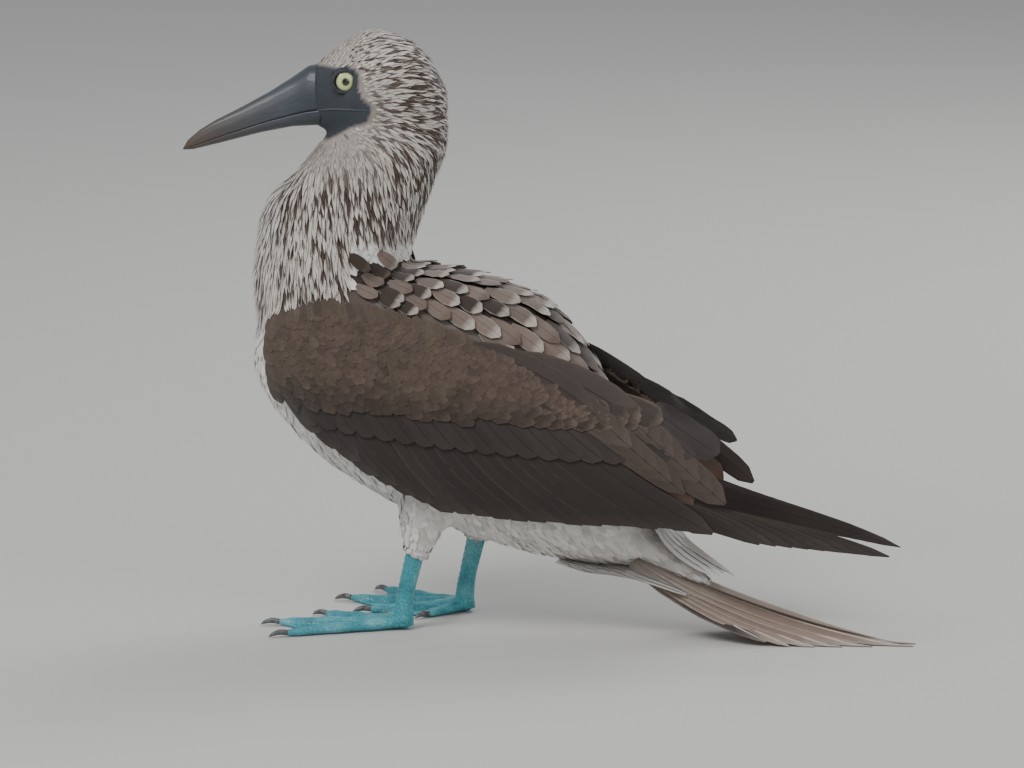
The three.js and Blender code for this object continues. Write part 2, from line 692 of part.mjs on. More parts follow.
// Toes as [turn outwards in degrees, length]: hallux, inner, middle, outer. All four share one web.
const TOES = [
  [-62, 34],
  [-27, 66],
  [2, 86],
  [28, 84],
];
function foot(side) {
  const heel = new THREE.Vector3(side < 0 ? LEG.leftHeelX : LEG.rightHeelX, side * LEG.y, 0);
  const turnOut = 6;
  const tipOf = ([turn, long], share, rise) => {
    const a = THREE.MathUtils.degToRad(turn + turnOut);
    return [heel.x - Math.cos(a) * long * share, heel.y + side * Math.sin(a) * long * share, rise];
  };
  const pieces = [];
  for (const toe of TOES) {
    pieces.push(
      bar(
        [tipOf(toe, -0.03, 7), tipOf(toe, 0.3, 4), tipOf(toe, 0.62, 3.6), tipOf(toe, 1, 2.2)],
        [7, TOE.base, 4.2, TOE.tip],
        { sides: 6, steps: 4, flat: 0.85 },
      ),
    );
    const claw = [tipOf(toe, 0.97, 2.6), tipOf([toe[0], toe[1] + 6], 1, 3), tipOf([toe[0], toe[1] + 11], 1, 0.8)];
    pieces.push(bar(claw, [2.3, 1.9, 0.6], { sides: 5, steps: 2 }));
  }
  for (let k = 0; k + 1 < TOES.length; k++) {
    const [a, b] = [TOES[k], TOES[k + 1]];
    const rim = [];
    const STEPS = 4;
    for (let i = 0; i <= STEPS; i++) {
      const t = i / STEPS;
      const sag = 1 - 0.16 * Math.sin(Math.PI * t);
      const mid = [THREE.MathUtils.lerp(a[0], b[0], t), THREE.MathUtils.lerp(a[1], b[1], t)];
      rim.push(tipOf(mid, 0.96 * sag, 0));
    }
    const shape = new THREE.Shape([
      new THREE.Vector2(heel.x + 2, heel.y),
      ...rim.map(([x, y]) => new THREE.Vector2(x, y)),
    ]);
    const web = new THREE.ExtrudeGeometry(shape, { depth: TOE.web + 0.8, bevelEnabled: false });
    web.translate(0, 0, -0.8);
    pieces.push(solidOf(web));
  }
  return cut(union(pieces), underFloor, tarsus(side, GAP));
}

// Assembly

function meshOf(solid) {
  const mesh = solid.getMesh();
  const geometry = new THREE.BufferGeometry();
  geometry.setAttribute("position", new THREE.BufferAttribute(new Float32Array(mesh.vertProperties), 3));
  geometry.setIndex(new THREE.BufferAttribute(new Uint32Array(mesh.triVerts), 1));
  return geometry;
}

// Points closer than this are one, so that no sliver splits a node's surface.
const WELD = 0.01;
const group = new THREE.Group();
function addNode(name, solid, colour, { roughness = 0.85, metalness = 0 } = {}) {
  const thinned = largest(solid).simplify(0.08);
  const welded = largest(solidOf(meshOf(thinned), WELD)).simplify(0.02);
  const geometry = meshOf(largest(solidOf(meshOf(welded), WELD)));
  geometry.computeVertexNormals();
  const node = new THREE.Mesh(geometry, new THREE.MeshStandardMaterial({ color: colour, roughness, metalness }));
  node.name = name;
  group.add(node);
}

// Everything on one side of a tilted plane, which parts the head from the neck and the neck from the torso
function halfSpace(centre, tilt, above) {
  const DEEP = 500;
  const box = new THREE.BoxGeometry(900, 900, DEEP);
  box.translate(0, 0, (above ? 1 : -1) * (DEEP / 2 + GAP / 2));
  box.rotateY(THREE.MathUtils.degToRad(tilt));
  box.translate(...centre);
  return solidOf(box);
}

const neckCut = [[-40, 0, 312], 24];
const chestCut = [[-76, 0, 222], -20];
const whole = union([body.torso, body.neck, body.head]);
const wholeClear = union([bodyClear.torso, bodyClear.neck, bodyClear.head]);
const bothSides = (make) => [-1, 1].map(make);

const names = { [-1]: "left", 1: "right" };
const headRaw = whole.intersect(halfSpace(...neckCut, true)).add(union(bothSides(eyeLid)));
const headCutters = bothSides((side) => eyeball(side, EYE.radius + GAP)).concat(bothSides(mouthGroove));
addNode("head", cut(headRaw, ...headCutters), COLOURS.plumage);
addNode("bill_upper", turnedHead(billHalf(true, 0)), COLOURS.bill, { roughness: 0.5 });
addNode("bill_lower", turnedHead(cut(billHalf(false, 0), billHalf(true, GAP))), COLOURS.bill, { roughness: 0.5 });

const neck = whole.intersect(halfSpace(...neckCut, false)).intersect(halfSpace(...chestCut, true));
addNode("neck", neck, COLOURS.plumage);
addNode("torso", body.torso.add(body.neck).intersect(halfSpace(...chestCut, false)), COLOURS.white);

for (const side of [-1, 1]) {
  const label = names[side];
  const thighClear = thigh(side, GAP);
  const covertClear = coverts(side, GAP);
  const flight = secondaries(side, 0);
  const flightClear = secondaries(side, GAP);
  const read = surfaceReader([wholeClear, covertClear, flightClear]);
  const room = shoulderPlate(read, side, [-0.8, 40], 0.12);
  const shoulder = cut(scapulars(side, read), wholeClear);
  const aside = [[0, -side * GAP, 0], [0, 0, -GAP], [GAP, 0, 0], [-GAP, 0, 0]].map((step) => shoulder.translate(step));
  addNode(`eye_${label}`, eyeball(side, EYE.radius), COLOURS.iris, { roughness: 0.1 });
  addNode(`wing_${label}_coverts`, cut(coverts(side, 0), wholeClear, room), COLOURS.brown);
  addNode(`wing_${label}_secondaries`, cut(flight, wholeClear, covertClear, thighClear, room, ...aside), COLOURS.dark);
  addNode(`wing_${label}_primaries`, cut(primaries(side), wholeClear, flightClear), COLOURS.dark);
  addNode(`scapulars_${label}`, shoulder, COLOURS.scapular);
  addNode(`thigh_${label}`, cut(thigh(side, 0), wholeClear, tarsus(side, GAP)), COLOURS.white);
  addNode(`leg_${label}`, cut(tarsus(side, 0), wholeClear), COLOURS.feet, { roughness: 0.6 });
  addNode(`foot_${label}`, foot(side), COLOURS.feet, { roughness: 0.6 });
}
const tailClear = tail(GAP);
addNode("tail", cut(tail(0), wholeClear), COLOURS.tail);
addNode("tail_coverts_upper", cut(tailCoverts(true), wholeClear, tailClear), COLOURS.white);
addNode("tail_coverts_under", cut(tailCoverts(false), wholeClear, tailClear), COLOURS.white);

// The origin lies under the middle of the bounding box.
const box = new THREE.Box3().setFromObject(group);
const centre = box.getCenter(new THREE.Vector3());
group.position.set(-centre.x, -centre.y, -box.min.z);
export default group;
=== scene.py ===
# A blue footed booby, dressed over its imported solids: one skin, feathers as thin vanes, bill, eyes and
# webbed feet. Places are in millimetres in the bird's own modelling frame: it faces -X, its left side is -Y,
# and the floor is Z = 0.
import math
from functools import partial

import bmesh
import bpy
import numpy as np
from mathutils import Matrix, Vector
from mathutils.bvhtree import BVHTree


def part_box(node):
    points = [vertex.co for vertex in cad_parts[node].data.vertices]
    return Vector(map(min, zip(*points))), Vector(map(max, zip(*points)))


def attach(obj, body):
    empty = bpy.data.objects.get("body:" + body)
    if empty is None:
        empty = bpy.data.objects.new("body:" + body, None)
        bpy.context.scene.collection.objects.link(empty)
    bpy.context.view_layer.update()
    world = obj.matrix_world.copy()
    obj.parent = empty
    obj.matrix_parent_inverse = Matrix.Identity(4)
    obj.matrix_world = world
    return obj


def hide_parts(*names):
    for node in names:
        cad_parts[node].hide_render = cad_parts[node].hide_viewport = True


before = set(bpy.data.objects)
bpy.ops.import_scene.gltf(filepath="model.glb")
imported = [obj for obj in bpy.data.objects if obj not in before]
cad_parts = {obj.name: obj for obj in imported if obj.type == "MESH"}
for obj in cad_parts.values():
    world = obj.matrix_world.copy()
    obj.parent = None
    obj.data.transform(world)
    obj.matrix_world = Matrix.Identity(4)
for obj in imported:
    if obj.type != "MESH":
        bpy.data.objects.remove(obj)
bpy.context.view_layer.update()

MM = 0.001
LEFT, RIGHT = -1, 1
SIDE_NAMES = {LEFT: "left", RIGHT: "right"}

# Driving sizes, as in the solids
HEAD_CENTRE = Vector((-42, 0, 352))
HEAD_TURN = Matrix.Rotation(math.radians(15), 4, "Z")
EYE = {"x": -22.7, "y": 22.5, "z": 15.4, "radius": 8.2, "turn": 0.2}
EYE_FLAT = 0.75
HEEL_X = {LEFT: -16, RIGHT: 8}
LEG_Y = 34
TAIL = {"x": 126, "z": 57, "length": 208, "pairs": 6, "spread": 14, "slope": 26, "bend": 0.75, "roof": 0.42}
WING_TIP = (312, 63)
WING = {
    "x": (-112, -96, -72, -28, 24, 98, 154, 210, 262, 312),
    "upper": (204, 219, 226, 222, 207, 176, 148, 107, 85, 64),
    "lower": (184, 162, 141, 112, 88, 83, 82, 76, 69, 62),
    "half": (50, 58, 65, 71, 72, 66, 54, 41, 31, 23),
}


def head_place(point):
    """A point of the head's own frame, in the bird's frame."""
    return HEAD_CENTRE + HEAD_TURN @ Vector(point)


def eye_centre(side):
    return head_place((EYE["x"], side * EYE["y"], EYE["z"]))


# The solids were moved along X to put the origin under their middle. The left eye shows by how far.
eye_low, eye_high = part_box("eye_left")
SHIFT_X = (eye_low.x + eye_high.x) / 2 / MM - eye_centre(LEFT).x
TO_FRAME = Matrix.Scale(MM, 4) @ Matrix.Translation((SHIFT_X, 0, 0))


def framed(points):
    """Bird-frame millimetres to row-frame metres, for an array of points."""
    return (np.asarray(points, float) + (SHIFT_X, 0, 0)) * MM


def unframed(points):
    """Row-frame metres to bird-frame millimetres, for an array of points."""
    return points / MM - (SHIFT_X, 0, 0)


# Materials


def linear(hex_colour):
    """An sRGB hex colour as linear RGBA."""
    values = [int(hex_colour[i : i + 2], 16) / 255 for i in (1, 3, 5)]
    return (*(v / 12.92 if v <= 0.04045 else ((v + 0.055) / 1.055) ** 2.4 for v in values), 1.0)


def rgb(hex_colour):
    return np.array(linear(hex_colour)[:3])


def add_node(material, kind, settings=None, links=None):
    """Adds a node, sets its properties and inputs, and links {input: output socket} into it."""
    node = material.node_tree.nodes.new(kind)
    for name, value in (settings or {}).items():
        if isinstance(name, str) and hasattr(node, name):
            setattr(node, name, value)
        else:
            node.inputs[name].default_value = value
    for name, socket in (links or {}).items():
        material.node_tree.links.new(socket, node.inputs[name])
    return node


def new_material(name, roughness, **shader):
    """A material with a Principled shader, and that shader."""
    material = bpy.data.materials.new(name)
    material.use_nodes = True
    principled = material.node_tree.nodes["Principled BSDF"]
    principled.inputs["Roughness"].default_value = roughness
    for socket, value in shader.items():
        principled.inputs[socket.replace("_", " ")].default_value = value
    return material, principled


def finish_material(material, principled, colour, relief=None, strength=0, depth_mm=0):
    """Links the colour and, where there is relief, a bump of that depth."""
    material.node_tree.links.new(colour, principled.inputs["Base Color"])
    if relief is not None:
        settings = {"Strength": strength, "Distance": depth_mm * MM}
        bump = add_node(material, "ShaderNodeBump", settings, {"Height": relief})
        material.node_tree.links.new(bump.outputs["Normal"], principled.inputs["Normal"])
    return material


def attribute(material, name, output="Color"):
    return add_node(material, "ShaderNodeAttribute", {"attribute_name": name}).outputs[output]


def parted(material, vector):
    return add_node(material, "ShaderNodeSeparateXYZ", links={"Vector": vector}).outputs


def uv_map(material, name):
    return add_node(material, "ShaderNodeUVMap", {"uv_map": name}).outputs["UV"]


def object_place(material):
    return add_node(material, "ShaderNodeTexCoord").outputs["Object"]


def noise(material, place, size_mm, detail):
    """Noise whose cells are size_mm across in Object coordinates."""
    settings = {"Scale": per_metre(size_mm), "Detail": detail}
    return add_node(material, "ShaderNodeTexNoise", settings, {"Vector": place}).outputs["Fac"]


def per_metre(size_mm):
    return 1 / (size_mm * MM)


def ramp_node(material, stops, factor):
    """The colour that a ramp gives to a factor."""
    ramp = add_node(material, "ShaderNodeValToRGB", links={"Fac": factor})
    elements = ramp.color_ramp.elements
    while len(elements) < len(stops):
        elements.new(0.5)
    for element, (position, colour) in zip(elements, stops):
        element.position = position
        element.color = linear(colour)
    return ramp.outputs["Color"]


def math_node(material, operation, *operands, clamp=False):
    """The result of a Math node whose operands are sockets or numbers."""
    settings, links = {"operation": operation, "use_clamp": clamp}, {}
    for index, value in enumerate(operands):
        target = links if isinstance(value, bpy.types.NodeSocket) else settings
        target[index] = value
    return add_node(material, "ShaderNodeMath", settings, links).outputs[0]


def vector_node(material, operation, settings, links, output=0):
    settings = {"operation": operation, **settings}
    return add_node(material, "ShaderNodeVectorMath", settings, links).outputs[output]


def toned(material, colour, tone):
    """A colour made darker or lighter by a tone."""
    return vector_node(material, "SCALE", {}, {0: colour, "Scale": tone})


def mixed_colour(material, factor, first, second):
    """Two colours mixed. The second is a socket or a hex colour."""
    settings, links = {}, {"Fac": factor, "Color1": first}
    if isinstance(second, str):
        settings["Color2"] = linear(second)
    else:
        links["Color2"] = second
    return add_node(material, "ShaderNodeMixRGB", settings, links).outputs["Color"]


def plumage(
    name, roughness=0.8, barb_mm=1.1, shaft="#8a7d72", shaft_share=0.5, shaft_mm=0.35, mottle=0.12,
    tip_from=0.8, rim_from=0.78,
):
    """Feather vane: keratin barbs, matt with a faint silky sheen. Barbs are about 0.3 mm apart in life and
    are drawn coarser, so that they show. Ground and edge colours come from the vanes' own attributes."""
    BARB_SLANT, RAGGED, TIP_STEEP, RIM_STEEP, BARB_TONE, SHAFT_RISE = 1.5, 0.35, 6.0, 4.5, 0.16, 1.5
    material, principled = new_material(name, roughness, Sheen_Weight=0.25, Specular_IOR_Level=0.3)
    maths = partial(math_node, material)
    across, along, _ = parted(material, attribute(material, "Sizes", "Vector"))
    share_across, share_along, _ = parted(material, uv_map(material, "Vane"))
    place = object_place(material)
    fine = noise(material, place, 3, 3.0)
    broad = noise(material, place, 13, 3.0)

    from_shaft = maths("ABSOLUTE", across)
    slant = maths("ADD", along, maths("MULTIPLY", from_shaft, BARB_SLANT))
    phase = maths("MULTIPLY", slant, 2 * math.pi / barb_mm)
    barbs = maths("MULTIPLY_ADD", maths("SINE", phase), 0.5, 0.5)

    from_middle = maths("ABSOLUTE", maths("MULTIPLY_ADD", share_across, 2.0, -1.0))
    ragged = maths("MULTIPLY", maths("SUBTRACT", fine, 0.5), RAGGED)
    past_tip = maths("SUBTRACT", share_along, tip_from)
    tip = maths("ADD", maths("MULTIPLY", past_tip, TIP_STEEP), ragged)
    past_rim = maths("SUBTRACT", from_middle, rim_from)
    rim = maths("ADD", maths("MULTIPLY", past_rim, RIM_STEEP), ragged)
    edge_share = maths("MAXIMUM", tip, rim, clamp=True)
    mask = maths("MULTIPLY", edge_share, attribute(material, "Fringe", "Fac"), clamp=True)
    vane = mixed_colour(material, mask, attribute(material, "Ground"), attribute(material, "Edge"))

    worn = maths("MULTIPLY_ADD", maths("ADD", fine, broad), mottle * 2, 1 - 2 * mottle)
    ribbed = maths("MULTIPLY", worn, maths("MULTIPLY_ADD", barbs, BARB_TONE, 1 - BARB_TONE / 2))
    near_shaft = maths("LESS_THAN", from_shaft, shaft_mm)
    shaft_mask = maths("MULTIPLY", near_shaft, shaft_share)
    colour = mixed_colour(material, shaft_mask, toned(material, vane, ribbed), shaft)
    relief = maths("ADD", barbs, maths("MULTIPLY", near_shaft, SHAFT_RISE))
    return finish_material(material, principled, colour, relief, 0.35, 0.25)


def skin_material():
    """Bare skin and down under the coat: soft, matt, in the coat's own colours, with fine wrinkles."""
    material, principled = new_material("bird skin with down", 0.7, Subsurface_Weight=0.05)
    place = object_place(material)
    fine = noise(material, place, 1.5, 4.0)
    broad = noise(material, place, 9, 2.0)
    tone = math_node(material, "MULTIPLY_ADD", math_node(material, "ADD", fine, broad), 0.35, 0.65)
    colour = toned(material, attribute(material, "Ground"), tone)
    cells = add_node(material, "ShaderNodeTexVoronoi", {"Scale": per_metre(1.4)}, {"Vector": place})
    relief = math_node(material, "ADD", cells.outputs["Distance"], fine)
    return finish_material(material, principled, colour, relief, 0.3, 0.5)


def horn_material():
    """Bill sheath: keratin horn, satin, with fine lengthwise grain, slate grey, browner at the tip."""
    material, principled = new_material("keratin bill horn", 0.42, Specular_IOR_Level=0.45, Coat_Weight=0.15)
    maths = partial(math_node, material)
    GRAIN_ALONG, GRAIN_ROUND, CLOUD = 9.0, 60.0, 0.16
    along, around, _ = parted(material, uv_map(material, "Length"))
    cloud = noise(material, object_place(material), 14, 5.0)
    spread = {0: maths("MULTIPLY", along, GRAIN_ALONG), 1: maths("MULTIPLY", around, GRAIN_ROUND)}
    grain_place = add_node(material, "ShaderNodeCombineXYZ", {}, spread).outputs[0]
    grain = add_node(material, "ShaderNodeTexNoise", {"Scale": 1.0, "Detail": 4.0}, {"Vector": grain_place})
    run = maths("ADD", along, maths("MULTIPLY", cloud, CLOUD))
    stops = [(0.08, "#54463c"), (0.26, "#4f453f"), (0.5, "#494749"), (0.82, "#444a51"), (1.0, "#3a4148")]
    tone = maths("MULTIPLY_ADD", grain.outputs["Fac"], 0.5, 0.74)
    colour = toned(material, ramp_node(material, stops, run), tone)
    return finish_material(material, principled, colour, grain.outputs["Fac"], 0.35, 0.4)


def scaled_skin_material():
    """Legs and feet: scaly turquoise skin, satin. Its scutes are 2 to 3 mm plates with darker grooves."""
    shader = {"Subsurface_Weight": 0.08, "Coat_Weight": 0.1}
    material, principled = new_material("scaly turquoise foot skin", 0.46, **shader)
    maths = partial(math_node, material)
    place = object_place(material)
    scutes = {"feature": "DISTANCE_TO_EDGE", "Scale": per_metre(2.4)}
    cells = add_node(material, "ShaderNodeTexVoronoi", scutes, {"Vector": place})
    cloud = noise(material, place, 18, 4.0)
    fine = noise(material, place, 1.6, 3.0)
    turquoise = ramp_node(material, [(0.3, "#2f8896"), (0.5, "#48a6b2"), (0.72, "#78c0c8")], cloud)
    groove = maths("MULTIPLY", cells.outputs["Distance"], 5.0, clamp=True)
    tone = maths("MULTIPLY_ADD", groove, 0.3, 0.7)
    worn = maths("MULTIPLY", tone, maths("MULTIPLY_ADD", fine, 0.5, 0.76))
    relief = maths("ADD", groove, maths("MULTIPLY", fine, 0.4))
    return finish_material(material, principled, toned(material, turquoise, worn), relief, 0.5, 0.5)


def claw_material():
    """Claws: dark grey horn, smooth and a little glossy, mottled with paler grey."""
    material, principled = new_material("claw horn", 0.35, Specular_IOR_Level=0.5)
    cloud = noise(material, object_place(material), 3, 3.0)
    colour = ramp_node(material, [(0.3, "#3a3f42"), (0.7, "#777a78")], cloud)
    return finish_material(material, principled, colour)


# The iris from the pupil outwards, by its reach from the middle of its own map
IRIS_STOPS = (
    (0.0, "#050505"), (0.135, "#070707"), (0.15, "#8b8c4a"), (0.21, "#dadf9a"), (0.33, "#cdd492"),
    (0.375, "#6f7454"), (0.40, "#15171a"),
)


def eye_material():
    """Eye: wet and clear over a pale yellow iris with fine spokes, a small pupil and a dark outer ring."""
    material, principled = new_material("moist eye", 0.06, Coat_Weight=1.0, Coat_Roughness=0.03)
    SPOKES, SPOKE_REACH = 9.0, 0.03
    centred = vector_node(material, "SUBTRACT", {1: (0.5, 0.5, 0)}, {0: uv_map(material, "Iris")})
    reach = vector_node(material, "LENGTH", {}, {0: centred}, "Value")
    outward = vector_node(material, "NORMALIZE", {}, {0: centred})
    spokes = add_node(material, "ShaderNodeTexNoise", {"Scale": SPOKES, "Detail": 3.0}, {"Vector": outward})
    wave = math_node(material, "SUBTRACT", spokes.outputs["Fac"], 0.5)
    uneven = math_node(material, "ADD", reach, math_node(material, "MULTIPLY", wave, SPOKE_REACH))
    return finish_material(material, principled, ramp_node(material, IRIS_STOPS, uneven))


# Mesh helpers


def finish_mesh(bm, name, material):
    """A piece from a bmesh in the bird's frame, placed in the row frame and riding on the one body."""
    bmesh.ops.transform(bm, matrix=TO_FRAME, verts=bm.verts)
    bmesh.ops.recalc_face_normals(bm, faces=bm.faces)
    mesh = bpy.data.meshes.new(name)
    bm.to_mesh(mesh)
    bm.free()
    return finish_piece(mesh, name, material)


def finish_piece(mesh, name, material, smooth=True):
    mesh.materials.clear()
    mesh.materials.append(material)
    if smooth:
        mesh.shade_smooth()
    piece = bpy.data.objects.new(name, mesh)
    bpy.context.scene.collection.objects.link(piece)
    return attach(piece, "root")


def loft(bm, rings, closed=False):
    """Bridges rings of points: a circle is made and moved for each. Ends are capped, or joined if closed."""
    loops = []
    for ring in rings:
        circle = bmesh.ops.create_circle(bm, segments=len(ring), radius=1)["verts"]
        for vert, point in zip(circle, ring):
            vert.co = point
        loops.append(circle)
    following = loops[1:] + loops[:1] if closed else loops[1:]
    for first, second in zip(loops, following):
        edges = []
        for loop in (first, second):
            edges += [bm.edges.get((loop[i], loop[(i + 1) % len(loop)])) for i in range(len(loop))]
        bmesh.ops.bridge_loops(bm, edges=edges)
    if not closed:
        for loop in (loops[0], loops[-1]):
            bmesh.ops.contextual_create(bm, geom=loop)
    return loops


def spline(points, count):
    """Even samples of a Catmull-Rom line through the points."""
    points = np.asarray(points, float)
    padded = np.vstack([2 * points[0] - points[1], points, 2 * points[-1] - points[-2]])
    out = []
    for u in np.linspace(0, len(points) - 1, count):
        i = min(int(u), len(points) - 2)
        t = u - i
        a, b, c, d = padded[i : i + 4]
        square = 2 * a - 5 * b + 4 * c - d
        cubic = 3 * b - a - 3 * c + d
        out.append(0.5 * ((2 * b) + (c - a) * t + square * t**2 + cubic * t**3))
    return np.array(out)


def tube(bm, points, radii, sides=12, steps=16, flat=1.0):
    """A round tapering bar along a smooth line."""
    line = spline(points, steps + 1)
    sizes = np.interp(np.linspace(0, 1, steps + 1), np.linspace(0, 1, len(radii)), radii)
    turns = [2 * math.pi * (s + 0.5) / sides for s in range(sides)]
    rings = []
    for i, (at, size) in enumerate(zip(line, sizes)):
        along = Vector(line[min(i + 1, steps)] - line[max(i - 1, 0)]).normalized()
        across = Vector((0, 0, 1)).cross(along)
        across = Vector((0, 1, 0)) if across.length < 1e-3 else across.normalized()
        up = along.cross(across)
        middle = Vector(at)
        rings.append([middle + across * math.cos(a) * size + up * math.sin(a) * size * flat for a in turns])
    loft(bm, rings)


def remeshed(bm, name, voxel_mm, smooth_rounds):
    """The outer surface of a bmesh in the row frame, made one and smooth, as a mesh."""
    mesh = bpy.data.meshes.new(name)
    bm.to_mesh(mesh)
    bm.free()
    holder = bpy.data.objects.new(name + "_form", mesh)
    bpy.context.scene.collection.objects.link(holder)
    voxels = holder.modifiers.new("voxels", "REMESH")
    voxels.mode = "VOXEL"
    voxels.voxel_size = voxel_mm * MM
    soften = holder.modifiers.new("soften", "SMOOTH")
    soften.factor = 0.5
    soften.iterations = smooth_rounds
    graph = bpy.context.evaluated_depsgraph_get()
    result = bpy.data.meshes.new_from_object(holder.evaluated_get(graph))
    result.name = name
    bpy.data.objects.remove(holder)
    bpy.data.meshes.remove(mesh)
    return result


def arrays_of(mesh):
    places = np.empty(len(mesh.vertices) * 3)
    mesh.vertices.foreach_get("co", places)
    normals = np.empty(len(mesh.vertices) * 3)
    mesh.vertex_normals.foreach_get("vector", normals)
    return places.reshape(-1, 3), normals.reshape(-1, 3)


# Markings: one colour and lie for skin and coat alike

COLOUR = {
    "white": rgb("#e2dfda"),
    "cream": rgb("#cfc8c0"),
    "streak": rgb("#4d3e36"),
    "face": rgb("#a39890"),
    "bare": rgb("#343a40"),
    "mantle": rgb("#3a2f29"),
    "mantle_tip": rgb("#b9aea5"),
    "mantle_pale": rgb("#75675e"),
    "covert": rgb("#54463c"),
    "covert_edge": rgb("#6c5c51"),
    "flight": rgb("#2c2522"),
    "flight_edge": rgb("#4b413b"),
    "tertial": rgb("#3f342e"),
    "tail": rgb("#8b7769"),
    "tail_pale": rgb("#c9bdb2"),
    "tail_dark": rgb("#3d322d"),
    "dirt": rgb("#8d7b6c"),
}


# Where a marking or a lie fades in: its share goes from 0 at the first place to 1 at the second.
MANTLE_FRONT_X, MANTLE_TOP_Z, MANTLE_OVER_WING = (-62, -50), (262, 250), (-14, -4)
NAPE_FRONT_X, NAPE_TOP_Z, NAPE_LOW_Z = (-58, -46), (274, 264), (244, 252)
HEAD_Z, HEAD_LIE_Z, THIGH_LIE_Z, CHEST_LIE_X = (300, 318), (308, 340), (84, 70), (-50, -100)
PALE_FRONT_X, PALE_LOW_Z = (-92, -112), (238, 212)
# Heights at which the streaked neck ends in front and behind
THROAT_Z, NECK_REAR_Z = 205, 232


def wing_line(key, x):
    return np.interp(x, WING["x"], WING[key])


def wing_point(side, x, z, depth):
    """A point by its place along and up the folded wing, and its depth under the wing's outer surface."""
    x, z, depth = (np.asarray(v, float) for v in (x, z, depth))
    upper, lower, half = (wing_line(key, x) for key in ("upper", "lower", "half"))
    share = np.clip((z - (upper + lower) / 2 + 6) / np.maximum(30, (upper - lower) / 2), -1.4, 1.6)
    bow = np.where(share > 0, 0.26, 0.12) * share**2
    return np.stack(np.broadcast_arrays(x, side * (half * (1 - bow) - depth), z), axis=-1)


def smoothstep(low, high, value):
    t = np.clip((np.asarray(value, float) - low) / (high - low), 0, 1)
    return t * t * (3 - 2 * t)


def head_local(points):
    """Bird-frame points in the head's own frame."""
    back = np.array(HEAD_TURN.inverted().to_3x3())
    return (np.asarray(points, float) - np.array(HEAD_CENTRE)) @ back.T


def wing_share(points):
    """How much a point lies on a wing, from 0 to 1."""
    x, y, z = points[:, 0], np.abs(points[:, 1]), points[:, 2]
    inside = (x > -112) & (x < 205) & (z < wing_line("upper", x) + 6) & (z > wing_line("lower", x) + 2)
    surface = np.abs(wing_point(1, x, z, 0)[:, 1])
    return np.where(inside, smoothstep(12, 7, surface - y), 0)


def back_share(points):
    """How much a point lies on the mantle, from 0 to 1."""
    x, z = points[:, 0], points[:, 2]
    above_wing = smoothstep(*MANTLE_OVER_WING, z - wing_line("upper", x))
    return smoothstep(*MANTLE_FRONT_X, x) * above_wing * smoothstep(*MANTLE_TOP_Z, z)


def nape_share(points):
    """How much a point lies in the white patch where the neck meets the back, from 0 to 1."""
    x, z = points[:, 0], points[:, 2]
    return smoothstep(*NAPE_FRONT_X, x) * smoothstep(*NAPE_TOP_Z, z) * smoothstep(*NAPE_LOW_Z, z)


def face_shares(points):
    """How much a point is bare facial skin, and how much it is short face feathers."""
    local = head_local(points)
    x, y, z = local[:, 0], np.abs(local[:, 1]), local[:, 2]
    top = np.interp(x, (-48, -36, -24, -17, -13.7, -11.8, -4), (23, 24, 23, 20, 13.7, 6, -1))
    low = np.interp(x, (-48, -34, -26, -18, -8, -4), (-27, -25, -20, -15, -11, -3))
    bare = smoothstep(-3.5, -5, x) * smoothstep(1.5, -1, z - top) * smoothstep(-1.5, 1, z - low)
    eye = np.linalg.norm(np.stack([x - EYE["x"], y - EYE["y"] - 4, z - EYE["z"]], axis=-1), axis=-1)
    bare = np.maximum(bare, smoothstep(11.5, 10, eye))
    near = smoothstep(18, -24, x)
    return bare, near * (z > -60)


def zones(points):
    """Each zone's share of a point, as a dict of arrays."""
    z = points[:, 2]
    wing = wing_share(points)
    mantle = back_share(points) * (1 - wing)
    bare, near = face_shares(points)
    head = smoothstep(*HEAD_Z, z)
    front = smoothstep(0, -1, points[:, 0] + 62 + 0.2 * (z - 240))
    throat = np.where(front > 0, THROAT_Z, NECK_REAR_Z) + 10 * np.sin(points[:, 1] * 0.16) * 0.6
    neck = smoothstep(throat - 12, throat + 12, z) * (1 - head) * (1 - wing) * (1 - mantle)
    return {
        "bare": bare * head,
        "near": near * head,
        "head": head,
        "neck": neck,
        "wing": wing,
        "mantle": mantle,
        "nape": nape_share(points) * (1 - wing),
    }


def mean_colour(points):
    """The coat's mean colour at each point, which the skin takes."""
    share = zones(points)
    colour = np.tile(COLOUR["white"], (len(points), 1))
    streaky = 0.25 * COLOUR["cream"] + 0.75 * COLOUR["streak"]
    pale_front = smoothstep(*PALE_FRONT_X, points[:, 0]) + smoothstep(*PALE_LOW_Z, points[:, 2])
    tones = (
        (share["neck"] * (1 - 0.8 * np.clip(pale_front, 0, 1)), streaky),
        (share["nape"], COLOUR["white"]),
        (share["head"], streaky),
        (share["near"], COLOUR["face"]),
        (share["mantle"], COLOUR["mantle"]),
        (share["wing"], COLOUR["covert"]),
        (share["bare"], COLOUR["bare"]),
    )
    for weight, tone in tones:
        colour += (tone - colour) * weight[:, None]
    return colour


def lie(points):
    """The direction in which feathers point at each point, before it is laid in the surface."""
    share = zones(points)
    bill_base = np.array(head_place((-60, 0, 2)))
    over_head = points - bill_base
    over_head /= np.linalg.norm(over_head, axis=1, keepdims=True)
    down_neck = np.array([0.16, 0, -1.0])
    along_body = np.array([0.8, 0, -0.6])
    chest = smoothstep(*CHEST_LIE_X, points[:, 0])[:, None]
    body = along_body * (1 - chest) + np.array([0.35, 0, -0.94]) * chest
    thigh = smoothstep(*THIGH_LIE_Z, points[:, 2])[:, None] * (points[:, 0] < 45)[:, None]
    body = body * (1 - thigh) + np.array([0.1, 0, -1.0]) * thigh
    head = smoothstep(*HEAD_LIE_Z, points[:, 2])[:, None]
    neck = np.clip(share["neck"][:, None] + share["head"][:, None], 0, 1)
    return over_head * head + (1 - head) * (down_neck * neck + body * (1 - neck))


